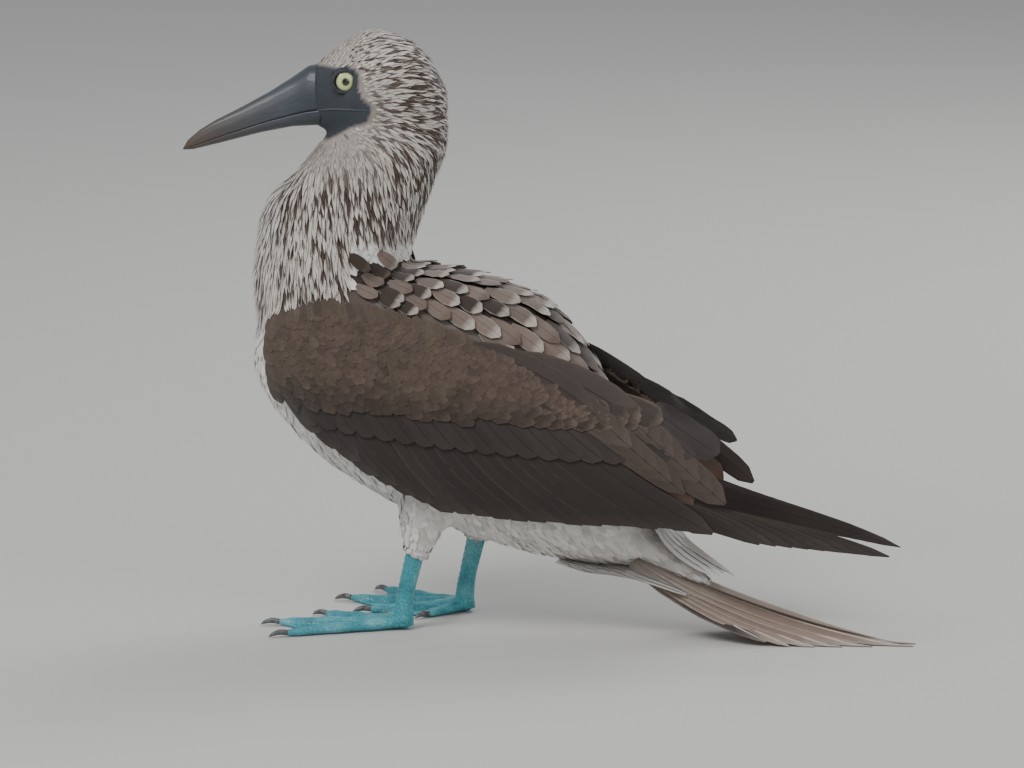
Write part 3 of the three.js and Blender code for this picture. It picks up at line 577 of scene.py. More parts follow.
# Skin


def wing_core(bm, side):
    """The flesh and down of a folded wing, in the row frame, to be merged into the skin."""
    STEPS, ACROSS = 40, 10
    rings = []
    for x in np.linspace(-108, 188, STEPS + 1):
        low = wing_line("lower", x) + 12
        high = max(low + 8, wing_line("upper", x) - 1 - max(0, x - 120) * 0.2)
        heights = np.linspace(low, high, ACROSS + 1)
        rim = np.sin(np.pi * np.clip((heights - low) / (high - low), 0, 1)) ** 0.35
        outer = wing_point(side, x, heights, 4.2 - 2.7 * rim)
        inner = wing_point(side, x, heights, 4.4 + 5 * rim)
        rings.append([Vector(p) for p in framed(np.vstack([outer, inner[::-1]]))])
    loft(bm, rings)


def coat_depth(points):
    """How deep the skin lies under the solids' surface, in millimetres."""
    share = zones(points)
    depth = 2.4 - 1.1 * share["head"] - 0.6 * share["near"]
    return np.where(share["bare"] > 0.5, 0.4, depth)


def make_skin(material):
    """One skin over head, neck, torso, thighs and the wings' flesh, with no seam."""
    NODES = ("head", "neck", "torso", "thigh_left", "thigh_right")
    VOXEL_MM, SMOOTH_ROUNDS = 2.2, 7
    bm = bmesh.new()
    for node in NODES:
        bm.from_mesh(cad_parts[node].data)
    bmesh.ops.remove_doubles(bm, verts=bm.verts, dist=1e-6)
    x, z = TAIL["x"], TAIL["z"]
    rump = [(x - 16, 0, z + 16), (x + 12, 0, z + 6), (x + 38, 0, z - 9), (x + 62, 0, z - 23)]
    tube(bm, framed(rump), [radius * MM for radius in (27, 23, 15, 6)], sides=24, steps=14, flat=0.6)
    for side in (LEFT, RIGHT):
        wing_core(bm, side)
    bmesh.ops.recalc_face_normals(bm, faces=bm.faces)
    mesh = remeshed(bm, "skin", VOXEL_MM, SMOOTH_ROUNDS)
    places, normals = arrays_of(mesh)
    depth = coat_depth(unframed(places))[:, None]
    mesh.vertices.foreach_set("co", (places - normals * depth * MM).ravel())
    mesh.update()
    colours = np.ones((len(places), 4))
    colours[:, :3] = mean_colour(unframed(arrays_of(mesh)[0]))
    mesh.attributes.new("Ground", "FLOAT_COLOR", "POINT").data.foreach_set("color", colours.ravel())
    skin = finish_piece(mesh, "skin", material)
    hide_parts(*NODES)
    unwrap(skin)
    return skin


def unwrap(piece):
    """The piece's own unwrap, in a map named OFBake."""
    piece.data.uv_layers.new(name="OFBake")
    bpy.context.view_layer.objects.active = piece
    piece.select_set(True)
    bpy.ops.object.mode_set(mode="EDIT")
    bpy.ops.mesh.select_all(action="SELECT")
    bpy.ops.uv.smart_project(angle_limit=math.radians(66), island_margin=0.002)
    bpy.ops.object.mode_set(mode="OBJECT")
    piece.select_set(False)


class Surface:
    """The skin as triangles, to sample roots on, to lay vanes on and to read the unwrap from."""

    def __init__(self, mesh):
        mesh.calc_loop_triangles()
        count = len(mesh.loop_triangles)
        corners, loops = np.empty(count * 3, int), np.empty(count * 3, int)
        mesh.loop_triangles.foreach_get("vertices", corners)
        mesh.loop_triangles.foreach_get("loops", loops)
        uv = np.empty(len(mesh.loops) * 2)
        mesh.uv_layers["OFBake"].data.foreach_get("uv", uv)
        self.places = unframed(arrays_of(mesh)[0])
        self.corners = corners.reshape(-1, 3)
        self.uv = uv.reshape(-1, 2)[loops.reshape(-1, 3)]
        self.tree = BVHTree.FromPolygons(self.places.tolist(), self.corners.tolist())

    def sample(self, random, count):
        """Random points spread evenly by area: places and unwrap places."""
        a, b, c = (self.places[self.corners[:, k]] for k in range(3))
        area = np.linalg.norm(np.cross(b - a, c - a), axis=1)
        picked = random.choice(len(area), count, p=area / area.sum())
        weights = random.dirichlet((1, 1, 1), count)[:, :, None]
        places = (self.places[self.corners[picked]] * weights).sum(1)
        return places, (self.uv[picked] * weights).sum(1)

    def unwrap_at(self, points):
        """The unwrap's place of the skin nearest to each point."""
        return np.array([self.uv[self.tree.find_nearest(Vector(p))[2]].mean(0) for p in points])

    def trace(self, roots, directions, lengths, rings):
        """Lines that run over the skin from each root: points, directions and normals, ring by ring."""
        lines = np.empty((len(roots), rings, 3, 3))
        for i, (root, direction, length) in enumerate(zip(roots, directions, lengths)):
            at, ahead = Vector(root), Vector(direction)
            step = length / (rings - 1)
            for r in range(rings):
                spot, normal, _, _ = self.tree.find_nearest(at)
                ahead = (ahead - normal * ahead.dot(normal)).normalized()
                lines[i, r] = spot, ahead, normal
                at = spot + ahead * step
        return lines[:, :, 0], lines[:, :, 1], lines[:, :, 2]


# Vanes

# Half widths of a vane from root to tip, as (share of its length, share of its greatest)
ROUND_VANE = ((0, 0.42), (0.3, 0.85), (0.62, 1.0), (0.86, 0.78), (1, 0.16))
LANCE_VANE = ((0, 0.5), (0.35, 1.0), (0.62, 0.82), (0.84, 0.42), (1, 0.06))
FLIGHT_VANE = ((0, 0.5), (0.15, 0.85), (0.4, 1.0), (0.8, 0.98), (0.93, 0.72), (1, 0.14))
POINTED_VANE = ((0, 0.55), (0.25, 0.95), (0.55, 1.0), (0.8, 0.66), (0.93, 0.36), (1, 0.05))
VENT = (108, 0, 50)


def outline(shape, t):
    stations, widths = zip(*shape)
    return np.interp(t, stations, widths)


class Coat:
    """Gathers vanes of one ring and section count, and joins them into a piece of solid mesh."""

    def __init__(self, rings, across, inner_face=True):
        self.rings, self.across, self.inner_face = rings, across, inner_face
        self.parts = []

    def add(self, tops, thickness, down, ground, edge, fringe, lengths, widths, roots_uv):
        """tops is (vanes, rings, across, 3): the outer faces. down is each vane's inward direction."""
        ring = tops
        u = np.linspace(0, 1, self.across)
        if self.inner_face:
            inner = tops[:, :, -2:0:-1] + (thickness[:, None, None] * down)[:, :, None, :]
            ring = np.concatenate([tops, inner], axis=2)
            u = np.concatenate([u, u[-2:0:-1]])
        v = np.linspace(0, 1, self.rings)
        share = np.stack(np.meshgrid(v, u, indexing="ij")[::-1], axis=-1)[None].repeat(len(tops), 0)
        sizes = np.zeros(share.shape[:-1] + (3,))
        sizes[..., 0] = (share[..., 0] * 2 - 1) * widths[:, None, None]
        sizes[..., 1] = share[..., 1] * lengths[:, None, None]
        self.parts.append((ring, share, sizes, ground, edge, fringe, roots_uv))

    def build(self, name, material, slot, replaced=(), patch=0.003):
        ring, share, sizes, ground, edge, fringe, roots_uv = (
            np.concatenate([part[k] for part in self.parts]) for k in range(7)
        )
        count, section = len(ring), ring.shape[2]
        each = self.rings * section
        row = np.arange(section)
        quads = []
        for r in range(self.rings - 1):
            a, b = r * section + row, r * section + (row + 1) % section
            quads.append(np.stack([a, b, b + section, a + section], axis=1))
        quads = np.concatenate(quads)
        caps = np.stack([row[::-1], (self.rings - 1) * section + row])
        one = np.concatenate([quads.ravel(), caps.ravel()])
        starts_one = np.concatenate([np.arange(len(quads)) * 4, len(quads) * 4 + np.arange(2) * section])
        loops = (one[None] + np.arange(count)[:, None] * each).ravel()
        starts = (starts_one[None] + np.arange(count)[:, None] * len(one)).ravel()

        mesh = bpy.data.meshes.new(name)
        mesh.vertices.add(count * each)
        mesh.vertices.foreach_set("co", framed(ring.reshape(-1, 3)).ravel())
        mesh.loops.add(len(loops))
        mesh.loops.foreach_set("vertex_index", loops)
        mesh.polygons.add(len(starts))
        mesh.polygons.foreach_set("loop_start", starts)
        mesh.update(calc_edges=True)

        def colours(values):
            full = np.ones((count, self.rings, section, 4))
            full[..., :3] = values.reshape(count, -1, 1, 3)
            return full.ravel()

        mesh.attributes.new("Ground", "FLOAT_COLOR", "POINT").data.foreach_set("color", colours(ground))
        mesh.attributes.new("Edge", "FLOAT_COLOR", "POINT").data.foreach_set("color", colours(edge))
        mesh.attributes.new("Fringe", "FLOAT", "POINT").data.foreach_set("value", fringe.repeat(each))
        mesh.attributes.new("Sizes", "FLOAT_VECTOR", "POINT").data.foreach_set("vector", sizes.ravel())
        flat_share = share.reshape(-1, 2)
        mesh.uv_layers.new(name="Vane").data.foreach_set("uv", flat_share[loops].ravel())
        bake = roots_uv[:, None, None, :] + (share - 0.5) * patch
        mesh.uv_layers.new(name="OFBake").data.foreach_set("uv", bake.reshape(-1, 2)[loops].ravel())
        mesh.set_sharp_from_angle(angle=math.radians(60))
        piece = finish_piece(mesh, name, material, smooth=False)
        if replaced:
            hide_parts(*replaced)
        return piece


def thin_out(random, places, spacing):
    """Indexes of points kept so that none lies nearer to another than its own spacing."""
    cell = float(np.max(spacing))
    kept, grid = [], {}
    keys = np.floor(places / cell).astype(int)
    for i in random.permutation(len(places)):
        x, y, z = keys[i]
        near = [
            j
            for dx in (-1, 0, 1) for dy in (-1, 0, 1) for dz in (-1, 0, 1)
            for j in grid.get((x + dx, y + dy, z + dz), ())
        ]
        if near and np.min(((places[near] - places[i]) ** 2).sum(1)) < spacing[i] ** 2:
            continue
        kept.append(i)
        grid.setdefault((x, y, z), []).append(i)
    return np.array(kept)


def lay_vanes(
    coat, surface, roots, directions, lengths, widths, lifts, shape, uv, ground, edge, fringe, thick=0.4
):
    """Lays vanes over the skin from their roots. lifts is each vane's rise at root and tip."""
    ARCH, LIFT_POWER = 0.15, 1.4
    t = np.linspace(0, 1, coat.rings)
    centres, ahead, normals = surface.trace(roots, directions, lengths, coat.rings)
    sides = np.cross(normals, ahead)
    across = np.linspace(-1, 1, coat.across)
    rise = lifts[:, :1] + (lifts[:, 1:] - lifts[:, :1]) * t[None] ** LIFT_POWER
    half = widths[:, None] * outline(shape, t)[None]
    tops = centres[:, :, None] + sides[:, :, None] * (half[:, :, None] * across)[..., None]
    crown = rise[:, :, None] + ARCH * half[:, :, None] * (1 - across**2)
    tops += normals[:, :, None] * crown[..., None]
    coat.add(tops, np.full(len(roots), thick), -normals, ground, edge, fringe, lengths, widths, uv)


def mixed(random, count, first, second, share):
    """Each row is one of two colours, picked by chance, with a little variation in tone."""
    pick = (random.random(count) < share)[:, None]
    tone = random.normal(1, 0.09, (count, 1))
    return np.clip(np.where(pick, second, first) * tone, 0, 1)


def streaked_feathers(random, at, near, on_head):
    """Lengths, half widths, tip lifts, colours and fringes of the streaked feathers of head and neck."""
    count, height = len(at), at[:, 2]
    hind = smoothstep(-70, -30, at[:, 0])
    front = smoothstep(-88, -108, at[:, 0])
    low = smoothstep(240, 212, height)
    if on_head:
        lengths, width, spread = 11 - 7 * near + 3 * smoothstep(345, 318, height), 1.15, 0.4
    else:
        lengths, width, spread = 14 + 3 * smoothstep(300, 240, height), 1.35, 0.9
    tips = 1.7 - 1.25 * near + spread * random.random(count)
    dark_share = (0.3 + 0.16 * hind) * (1 - 0.7 * near) * (1 - 0.6 * front) * (1 - 0.8 * low)
    ground = mixed(random, count, COLOUR["cream"], COLOUR["streak"], np.clip(dark_share, 0, 1))
    face_tint = 0.65 * near * smoothstep(378, 362, height)
    ground += (COLOUR["face"] - ground) * face_tint[:, None]
    pale_share = 0.3 + 0.4 * np.maximum(near, front)
    edge = mixed(random, count, COLOUR["streak"], COLOUR["cream"], pale_share)
    fringe = random.uniform(0.3, 0.9, count) * (1 - 0.7 * np.maximum(near, low))
    return lengths, width - 0.35 * near, tips, ground, edge, fringe


def white_feathers(random, at):
    """The same for the white feathers of the body, which are soiled round the vent."""
    count = len(at)
    small = smoothstep(90, 70, at[:, 2])
    lengths = 13 - 4 * small + random.normal(0, 1, count)
    tips = 1.0 + random.uniform(-0.3, 0.5, count)
    dirt = smoothstep(36, 12, np.linalg.norm(at - VENT, axis=1)) * 0.45
    ground = mixed(random, count, COLOUR["white"], COLOUR["cream"], 0.12 + dirt)
    ground += (COLOUR["dirt"] - ground) * dirt[:, None]
    edge = mixed(random, count, COLOUR["white"], COLOUR["white"], 0.5)
    fringe = random.uniform(0.2, 0.6, count)
    return lengths, 3.4 - 1.0 * small, tips, ground, edge, fringe


def body_coats(surface, streaky, white):
    """Small feathers of head, neck, breast, belly and thighs, in pieces by zone."""
    random = np.random.default_rng(11)
    candidates = 260000
    places, uv = surface.sample(random, candidates)
    share = zones(places)
    face = share["near"] * (1 - share["bare"])
    spacing = 3.9 - 2.0 * share["head"] - 1.6 * share["neck"] - 0.3 * face
    kept = thin_out(random, places, spacing)
    kept = kept[(share["bare"][kept] < 0.5) & (share["wing"][kept] < 0.5) & (share["mantle"][kept] < 0.7)]
    places, uv, face = places[kept], uv[kept], face[kept]
    share = {key: value[kept] for key, value in share.items()}
    directions = lie(places) + random.normal(0, 0.07, places.shape)

    on_head = share["head"] > 0.5
    on_neck = (share["neck"] > 0.5) & ~on_head & (share["nape"] < 0.5)
    on_front = on_neck & (places[:, 0] < -78)
    for name, here in (
        ("head_feathers", on_head),
        ("neck_feathers_front", on_front),
        ("neck_feathers_rear", on_neck & ~on_front),
        ("body_feathers", ~on_head & ~on_neck),
    ):
        count, at = int(here.sum()), places[here]
        if name == "body_feathers":
            form, material, slot = white_feathers(random, at), white, "plumage_white"
            shape = ROUND_VANE
        else:
            form = streaked_feathers(random, at, face[here], name == "head_feathers")
            shape, material, slot = LANCE_VANE, streaky, "plumage_grey"
        lengths, widths, tips, ground, edge, fringe = form
        lengths = np.clip(lengths * random.normal(1, 0.1, count), 2.5, 40)
        lifts = np.stack([np.full(count, -0.3), tips * random.uniform(0.7, 1.3, count)], axis=1)
        coat = Coat(5, 3, inner_face=False)
        lay_vanes(
            coat, surface, at, directions[here], lengths, widths, lifts, shape, uv[here], ground, edge, fringe
        )
        coat.build(name, material, slot)


def grid_vanes(rows, side, coat, surface, shape):
    """Lays a wing's vanes in its own coordinates. Each row describes one vane, as wing_row gives it."""
    t = np.linspace(0, 1, coat.rings)[:, None]
    across = np.linspace(-1, 1, coat.across)
    tops = []
    for row in rows:
        root, bend, tip = row["root"], row["bend"], row["tip"]
        middle = 2 * bend - (root + tip) / 2
        line = (1 - t) ** 2 * root + 2 * t * (1 - t) * middle + t**2 * tip
        slope = 2 * (1 - t) * (middle - root) + 2 * t * (tip - middle)
        slope /= np.linalg.norm(slope, axis=1, keepdims=True)
        half = row["half"] * outline(shape, t[:, 0])
        depth = row["depths"][0] + (row["depths"][1] - row["depths"][0]) * t
        x = line[:, :1] - slope[:, 1:] * half[:, None] * across
        z = line[:, 1:] + slope[:, :1] * half[:, None] * across
        curl = row["cup"] * (across**2) + row["skew"] * across
        tops.append(wing_point(side, x, z, depth + curl[None] * np.ones_like(x)))
    tops = np.array(tops)
    downs = np.tile((0.0, -side, 0.0), (len(rows), coat.rings, 1))
    thick, ground, edge, fringe, long, half = (
        np.array([row[key] for row in rows], float)
        for key in ("thick", "ground", "edge", "fringe", "long", "half")
    )
    bake_places = surface.unwrap_at(tops[:, 0, coat.across // 2])
    coat.add(tops, thick, downs, ground, edge, fringe, long, half, bake_places)


def covert_line(x):
    """The height at which the small coverts end and the long feathers show."""
    return np.interp(x, (-100, 110), (168, 152))


def wing_row(random, root, tip, sag, half, depths, ground, edge, fringe, thick=0.8, cup=0.35, skew=0.25):
    """One vane of a wing: root, bend and tip as (x, z), half width, depths at root and tip, and colours."""
    root, tip = np.array(root, float), np.array(tip, float)
    tone = random.normal(1, 0.1)
    return {
        "root": root, "bend": (root + tip) / 2 + sag, "tip": tip, "long": np.linalg.norm(tip - root),
        "half": half, "depths": depths, "thick": thick, "cup": cup, "skew": skew, "fringe": fringe,
        "ground": np.clip(ground * tone, 0, 1), "edge": np.clip(edge * tone, 0, 1),
    }


def build_wing(rows, side, coat, surface, shape, material, slot, kind, solids):
    """Lays the rows and makes them the piece that stands in for the solids' node."""
    grid_vanes(rows, side, coat, surface, shape)
    wing = f"wing_{SIDE_NAMES[side]}"
    coat.build(f"{wing}_{kind}_feathers", material, slot, [f"{wing}_{solids}"])


def make_wing_coverts(side, surface, material):
    """Lesser, median and greater coverts: rounded vanes in tiers from the leading edge to the covert line."""
    random = np.random.default_rng(21 + side)
    TIERS = 18
    rows = []
    for k in range(TIERS):
        share = k / (TIERS - 1)
        length = 12 + 19 * share**1.4
        half = 3.8 + 3.6 * share
        start, end = -105 + 4 * share, 60 + 76 * share
        count = int((end - start) / (half * 1.2))
        for i in range(count):
            x = start + (end - start) * (i + 0.5 * (k % 2) + random.uniform(-0.2, 0.2)) / count
            top = wing_line("upper", x) - 2
            drop = top - covert_line(x) - 12
            z = top - drop * share + random.uniform(-1.5, 1.5)
            if drop < 8 and k < TIERS - 4:
                continue
            fall = np.interp(x, (-100, -60, 40, 140), (-1.3, -1.0, -0.62, -0.5)) + random.normal(0, 0.08)
            tip = (x + length * math.cos(fall), z + length * math.sin(fall))
            rear = smoothstep(50, 90, x)
            blotch = 0.5 + 0.5 * math.sin(x * 0.11 + 2 * math.sin(z * 0.09))
            dark = np.clip(0.75 * smoothstep(0.62, 1.0, share) + 0.35 * blotch * share + 0.3 * rear, 0, 1)
            ground = COLOUR["covert"] + (COLOUR["mantle"] - COLOUR["covert"]) * dark
            fringe = random.uniform(0.05, 0.3) + 0.45 * rear
            rows.append(wing_row(
                random, (x, z), tip, (-1, -1), half, (1.5, -0.15 - 0.45 * share), ground,
                COLOUR["covert_edge"], fringe, thick=0.5, cup=0.6,
            ))
    coat = Coat(7, 5)
    build_wing(rows, side, coat, surface, ROUND_VANE, material, "plumage_brown", "covert", "coverts")


def make_secondaries(side, surface, material):
    """Secondaries along the wing's lower edge, the tertials, and dark coverts over their roots."""
    random = np.random.default_rng(31 + side)
    SECONDARIES, TERTIALS, DARK_COVERTS = 22, 8, 20
    flight, flight_edge = COLOUR["flight"], COLOUR["flight_edge"]
    rows = []
    for i in range(SECONDARIES):
        t = i / (SECONDARIES - 1)
        x = -66 + 264 * t**0.95
        z = wing_line("lower", x) - 0.5 + random.uniform(-1, 1)
        long = 56 + 76 * t
        angle = 0.98 - 0.38 * t
        root = (x - long * math.cos(angle), z + long * math.sin(angle))
        rows.append(wing_row(
            random, root, (x, z), (-3, -3), 8.6, (2.6, 0.9), flight, flight_edge, 0.45, skew=0.55
        ))
    for k in range(2):
        for i in range(TERTIALS):
            t = i / (TERTIALS - 1)
            tip = (206 - 62 * t - 26 * k, 97 + 52 * t + 7 * k)
            root = (tip[0] - 92 + 8 * t, tip[1] + 52 - 12 * t)
            rows.append(wing_row(
                random, root, tip, (3, 4), 9.5 - 1.5 * k, (2.4 - 0.8 * k, 0.3 - 0.8 * k), COLOUR["tertial"],
                COLOUR["covert_edge"], 0.22, thick=0.6, skew=-0.4,
            ))
    for i in range(DARK_COVERTS):
        t = i / (DARK_COVERTS - 1)
        x = -84 + 236 * t
        z = covert_line(x) + 4
        long = 34 + 20 * t
        fall = -1.1 + 0.55 * t
        tip = (x + long * math.cos(fall), z + long * math.sin(fall))
        rows.append(wing_row(
            random, (x, z), tip, (-1, -1), 8.4, (1.4, 0.4), flight * 1.25, flight_edge, 0.15, thick=0.4
        ))
    coat = Coat(13, 7)
    build_wing(rows, side, coat, surface, FLIGHT_VANE, material, "plumage_dark", "secondary", "secondaries")


def make_primaries(side, surface, material):
    """Primaries: long narrow pointed vanes that stack towards the wing's tip."""
    random = np.random.default_rng(41 + side)
    PRIMARIES = 9
    rows = []
    for i in range(PRIMARIES):
        t = i / (PRIMARIES - 1)
        tip = (WING_TIP[0] - 10.5 * i, WING_TIP[1] + 0.9 * i - 0.5)
        root = (118 - 4 * i, 92 + 22 * t)
        rows.append(wing_row(
            random, root, tip, (6, 3.5), 7.6, (7.5, 5.4 - 0.45 * i), COLOUR["flight"], COLOUR["flight_edge"],
            0.5, thick=0.9, skew=0.4,
        ))
    coat = Coat(15, 7)
    build_wing(rows, side, coat, surface, POINTED_VANE, material, "plumage_dark", "primary", "primaries")


SPINE = ((-60, 190), (150, 62))


def back_point(surface, side, along, turn):
    """A point of the back's skin by its share of the spine's length and its turn round it, in degrees."""
    x, z = (SPINE[0][k] + (SPINE[1][k] - SPINE[0][k]) * along for k in range(2))
    a = math.radians(turn)
    out = Vector((0.56 * math.cos(a), side * math.sin(a), 0.83 * math.cos(a))).normalized()
    axis = Vector((x, 0, z))
    spot, _, _, _ = surface.tree.ray_cast(axis + out * 300, -out)
    return spot or axis + out * 60


def make_scapulars(side, surface, material):
    """Mantle and scapulars: dark vanes with pale round tips, small at the nape and longer behind."""
    random = np.random.default_rng(51 + side)
    TIERS, NAPE_X, NAPE_Z = 17, -56, 256
    roots, ahead, lengths, widths, tones = [], [], [], [], []
    for k in range(TIERS):
        share = k / (TIERS - 1)
        along = -0.17 + 0.93 * share
        half = 4.2 + 4.6 * share
        low = np.interp(along, (-0.17, 0.1, 0.5, 0.76), (96, 88, 72, 60))
        count = max(3, int(low / (half * 1.15)))
        length = 15 + 25 * share
        for i in range(count):
            turn = low * (i + 0.5 * (k % 2) + random.uniform(-0.15, 0.15)) / count
            spot = back_point(surface, side, along + random.uniform(-0.008, 0.008), max(1.0, turn))
            direction = (0.8 + random.normal(0, 0.03), 0.1 * side * (turn / 60), -0.6)
            tip_x, tip_z = spot[0] + length * direction[0], spot[2] + length * direction[2]
            if spot[0] < NAPE_X or spot[2] > NAPE_Z or tip_z < wing_line("upper", tip_x) - 5:
                continue
            roots.append(spot)
            ahead.append(direction)
            lengths.append(length * random.normal(1, 0.06))
            widths.append(half)
            tones.append(smoothstep(-46, -14, spot[0]) * smoothstep(120, 40, spot[0]))
    count = len(roots)
    roots, lengths, widths, tones = (np.array(values) for values in (roots, lengths, widths, tones))
    ground = mixed(random, count, COLOUR["mantle"], COLOUR["mantle_pale"], 0.15 + 0.6 * tones)
    edge = mixed(random, count, COLOUR["mantle_tip"], COLOUR["covert_edge"], 0.25 + 0.4 * (1 - tones))
    lifts = np.stack([np.full(count, 1.0), 3.8 + 0.05 * lengths], axis=1)
    fringe = 0.45 + 0.55 * tones * random.uniform(0.6, 1.0, count)
    coat = Coat(8, 5)
    lay_vanes(
        coat, surface, roots, np.array(ahead), lengths, widths, lifts, ROUND_VANE, surface.unwrap_at(roots),
        ground, edge, fringe, thick=0.7,
    )
    name = SIDE_NAMES[side]
    coat.build(f"scapular_feathers_{name}", material, "plumage_brown", [f"scapulars_{name}"])


# Tail


def tail_point(reach, swing, lift):
    """A point of the fanned tail by its reach from the root and its swing from the middle line."""
    slope = math.radians(TAIL["slope"])
    t = reach / TAIL["length"]
    run = reach * np.cos(slope * (1 - 0.5 * TAIL["bend"] * t))
    fall = TAIL["length"] * math.sin(slope) * (t - 0.5 * TAIL["bend"] * t * t)
    y = run * np.sin(swing)
    z = TAIL["z"] - fall - np.abs(y) * TAIL["roof"] + lift
    return np.stack([TAIL["x"] + run * np.cos(swing), y, z], axis=-1)


def add_one(coat, tops, thick, inward, ground, edge, fringe, length, half, bake_place):
    """Adds one vane of the tail. Its inner face lies below the outer one, or above if inward is 1."""
    down = np.tile((0.0, 0.0, float(inward)), (1, coat.rings, 1))
    thick, fringe, length, half = (np.full(1, float(value)) for value in (thick, fringe, length, half))
    coat.add(tops[None], thick, down, ground[None], edge[None], fringe, length, half, np.array([bake_place]))


def make_tail(material):
    """Rectrices: stiff pointed vanes with whitish shafts that fan out and lie on the floor at their tips."""
    random = np.random.default_rng(61)
    RINGS, ACROSS, HALF, THICK = 17, 7, 8.6, 0.7
    coat = Coat(RINGS, ACROSS)
    t = np.linspace(0, 1, RINGS)
    across = np.linspace(-1, 1, ACROSS)
    for i in range(TAIL["pairs"]):
        for side in (LEFT, RIGHT):
            share = i / (TAIL["pairs"] - 1)
            length = TAIL["length"] * (1 - 0.44 * share**0.8)
            swing = side * math.radians(1.2 + TAIL["spread"] * share)
            half = HALF * outline(POINTED_VANE, t)
            lift = -1.3 * i + (0.5 if side == RIGHT else 0)
            reach = 8 + t * (length - 8)
            line = tail_point(reach, swing, lift * (1 - 0.75 * t) + 0.6)
            sideways = np.array([-math.sin(swing), math.cos(swing), -side * TAIL["roof"]])
            tops = line[:, None] + (half[:, None] * across)[..., None] * sideways
            tops[..., 2] -= 0.5 * across**2
            tops[..., 2] = np.maximum(tops[..., 2], THICK + 0.05)
            outer = i == TAIL["pairs"] - 1
            base = COLOUR["tail_dark"] if outer else COLOUR["tail"]
            pale = smoothstep(0.45, 0.05, t)[:, None]
            ground = (base * (1 - pale) + COLOUR["tail_pale"] * pale) * random.normal(1, 0.07)
            edge = COLOUR["tail_pale"] * (0.5 if outer else 0.9)
            bake_place = (0.1 + 0.07 * (2 * i + (side == RIGHT)), 0.5)
            add_one(coat, tops, THICK, -1, ground, edge, 0.5, length, HALF, bake_place)
    coat.build("tail_feathers", material, "tail_feathers", ["tail"], patch=0.06)


# The lines that the coverts over and under the tail's root follow, as places (x, z) down the middle
RUMP_LINE = ((122, 134), (138, 110), (152, 86), (170, 63), (208, 37))
VENT_LINE = ((86, 49), (108, 45), (130, 43), (152, 38), (190, 25))


def make_tail_coverts(above, material):
    """White coverts over or under the tail's root, in tiers of rounded vanes."""
    random = np.random.default_rng(71 + above)
    RINGS, ACROSS, TIERS, SAMPLES, HALF, THICK, LENGTH = 9, 5, 6, 61, 7.0, 0.6, 40
    coat = Coat(RINGS, ACROSS)
    t = np.linspace(0, 1, RINGS)
    across = np.linspace(-1, 1, ACROSS)
    half = HALF * outline(ROUND_VANE, t)
    line = spline(RUMP_LINE if above else VENT_LINE, SAMPLES)
    upward = 1 if above else -1
    for k in range(TIERS):
        count = 8 - k % 2
        for i in range(count):
            share = 2 * (i + 0.5) / count - 1
            start = 0.52 * k / (TIERS - 1)
            reach = 0.42 - 0.06 * share**2 + random.uniform(-0.03, 0.03)
            sample = (start + t * reach) * (SAMPLES - 1)
            places, heights = (np.interp(sample, np.arange(SAMPLES), line[:, axis]) for axis in (0, 1))
            y = share * np.interp(places, (90, 120, 150, 200), (26, 26, 22, 15))
            z = heights - (0.42 if above else 0.05) * np.abs(y) + upward * 1.5 * t
            middle = np.stack([places, y, z], axis=-1)
            tops = middle[:, None] + (half[:, None] * across)[..., None] * (0, 1.0, 0)
            tops[..., 2] -= upward * 1.2 * across**2
            ground = mixed(random, 1, COLOUR["white"], COLOUR["cream"], 0.3)[0]
            bake_place = (0.1 + 0.08 * i, 0.2 + 0.12 * k)
            add_one(coat, tops, THICK, -upward, ground, COLOUR["white"], 0.6, LENGTH, HALF, bake_place)
    label = "upper" if above else "under"
    coat.build(
        f"tail_covert_feathers_{label}", material, "plumage_white", [f"tail_coverts_{label}"], patch=0.05
    )


# Bill and eyes, in the head's own frame

MOUTH = ((-132, -34.2), (-119, -29.6), (-100, -22.6), (-75.5, -14.4), (-49.3, -6.8), (-30, -3.4), (-6, -3))
CULMEN = (
    (-130.7, -33.2), (-127.5, -27.6), (-119.3, -20.6), (-109.3, -14.4), (-92.7, -6), (-72.7, 5), (-58, 14.4),
    (-46.5, 22.4), (-38, 23.6),
)
CHIN = ((-129.6, -34), (-124, -33.8), (-106, -29.4), (-79.3, -22.4), (-58, -18.2), (-42, -17.2), (-38, -17.2))
BILL_WIDTH = ((-131, 1.0), (-124, 3), (-110, 5), (-90, 7.2), (-70, 9.4), (-54, 12.6), (-43, 16), (-38, 17))
BILL_RUN = (-130.7, -38)
MOUTH_SLIT = 0.3


def height_on(line, x):
    stations, heights = zip(*line)
    return float(np.interp(x, stations, heights))


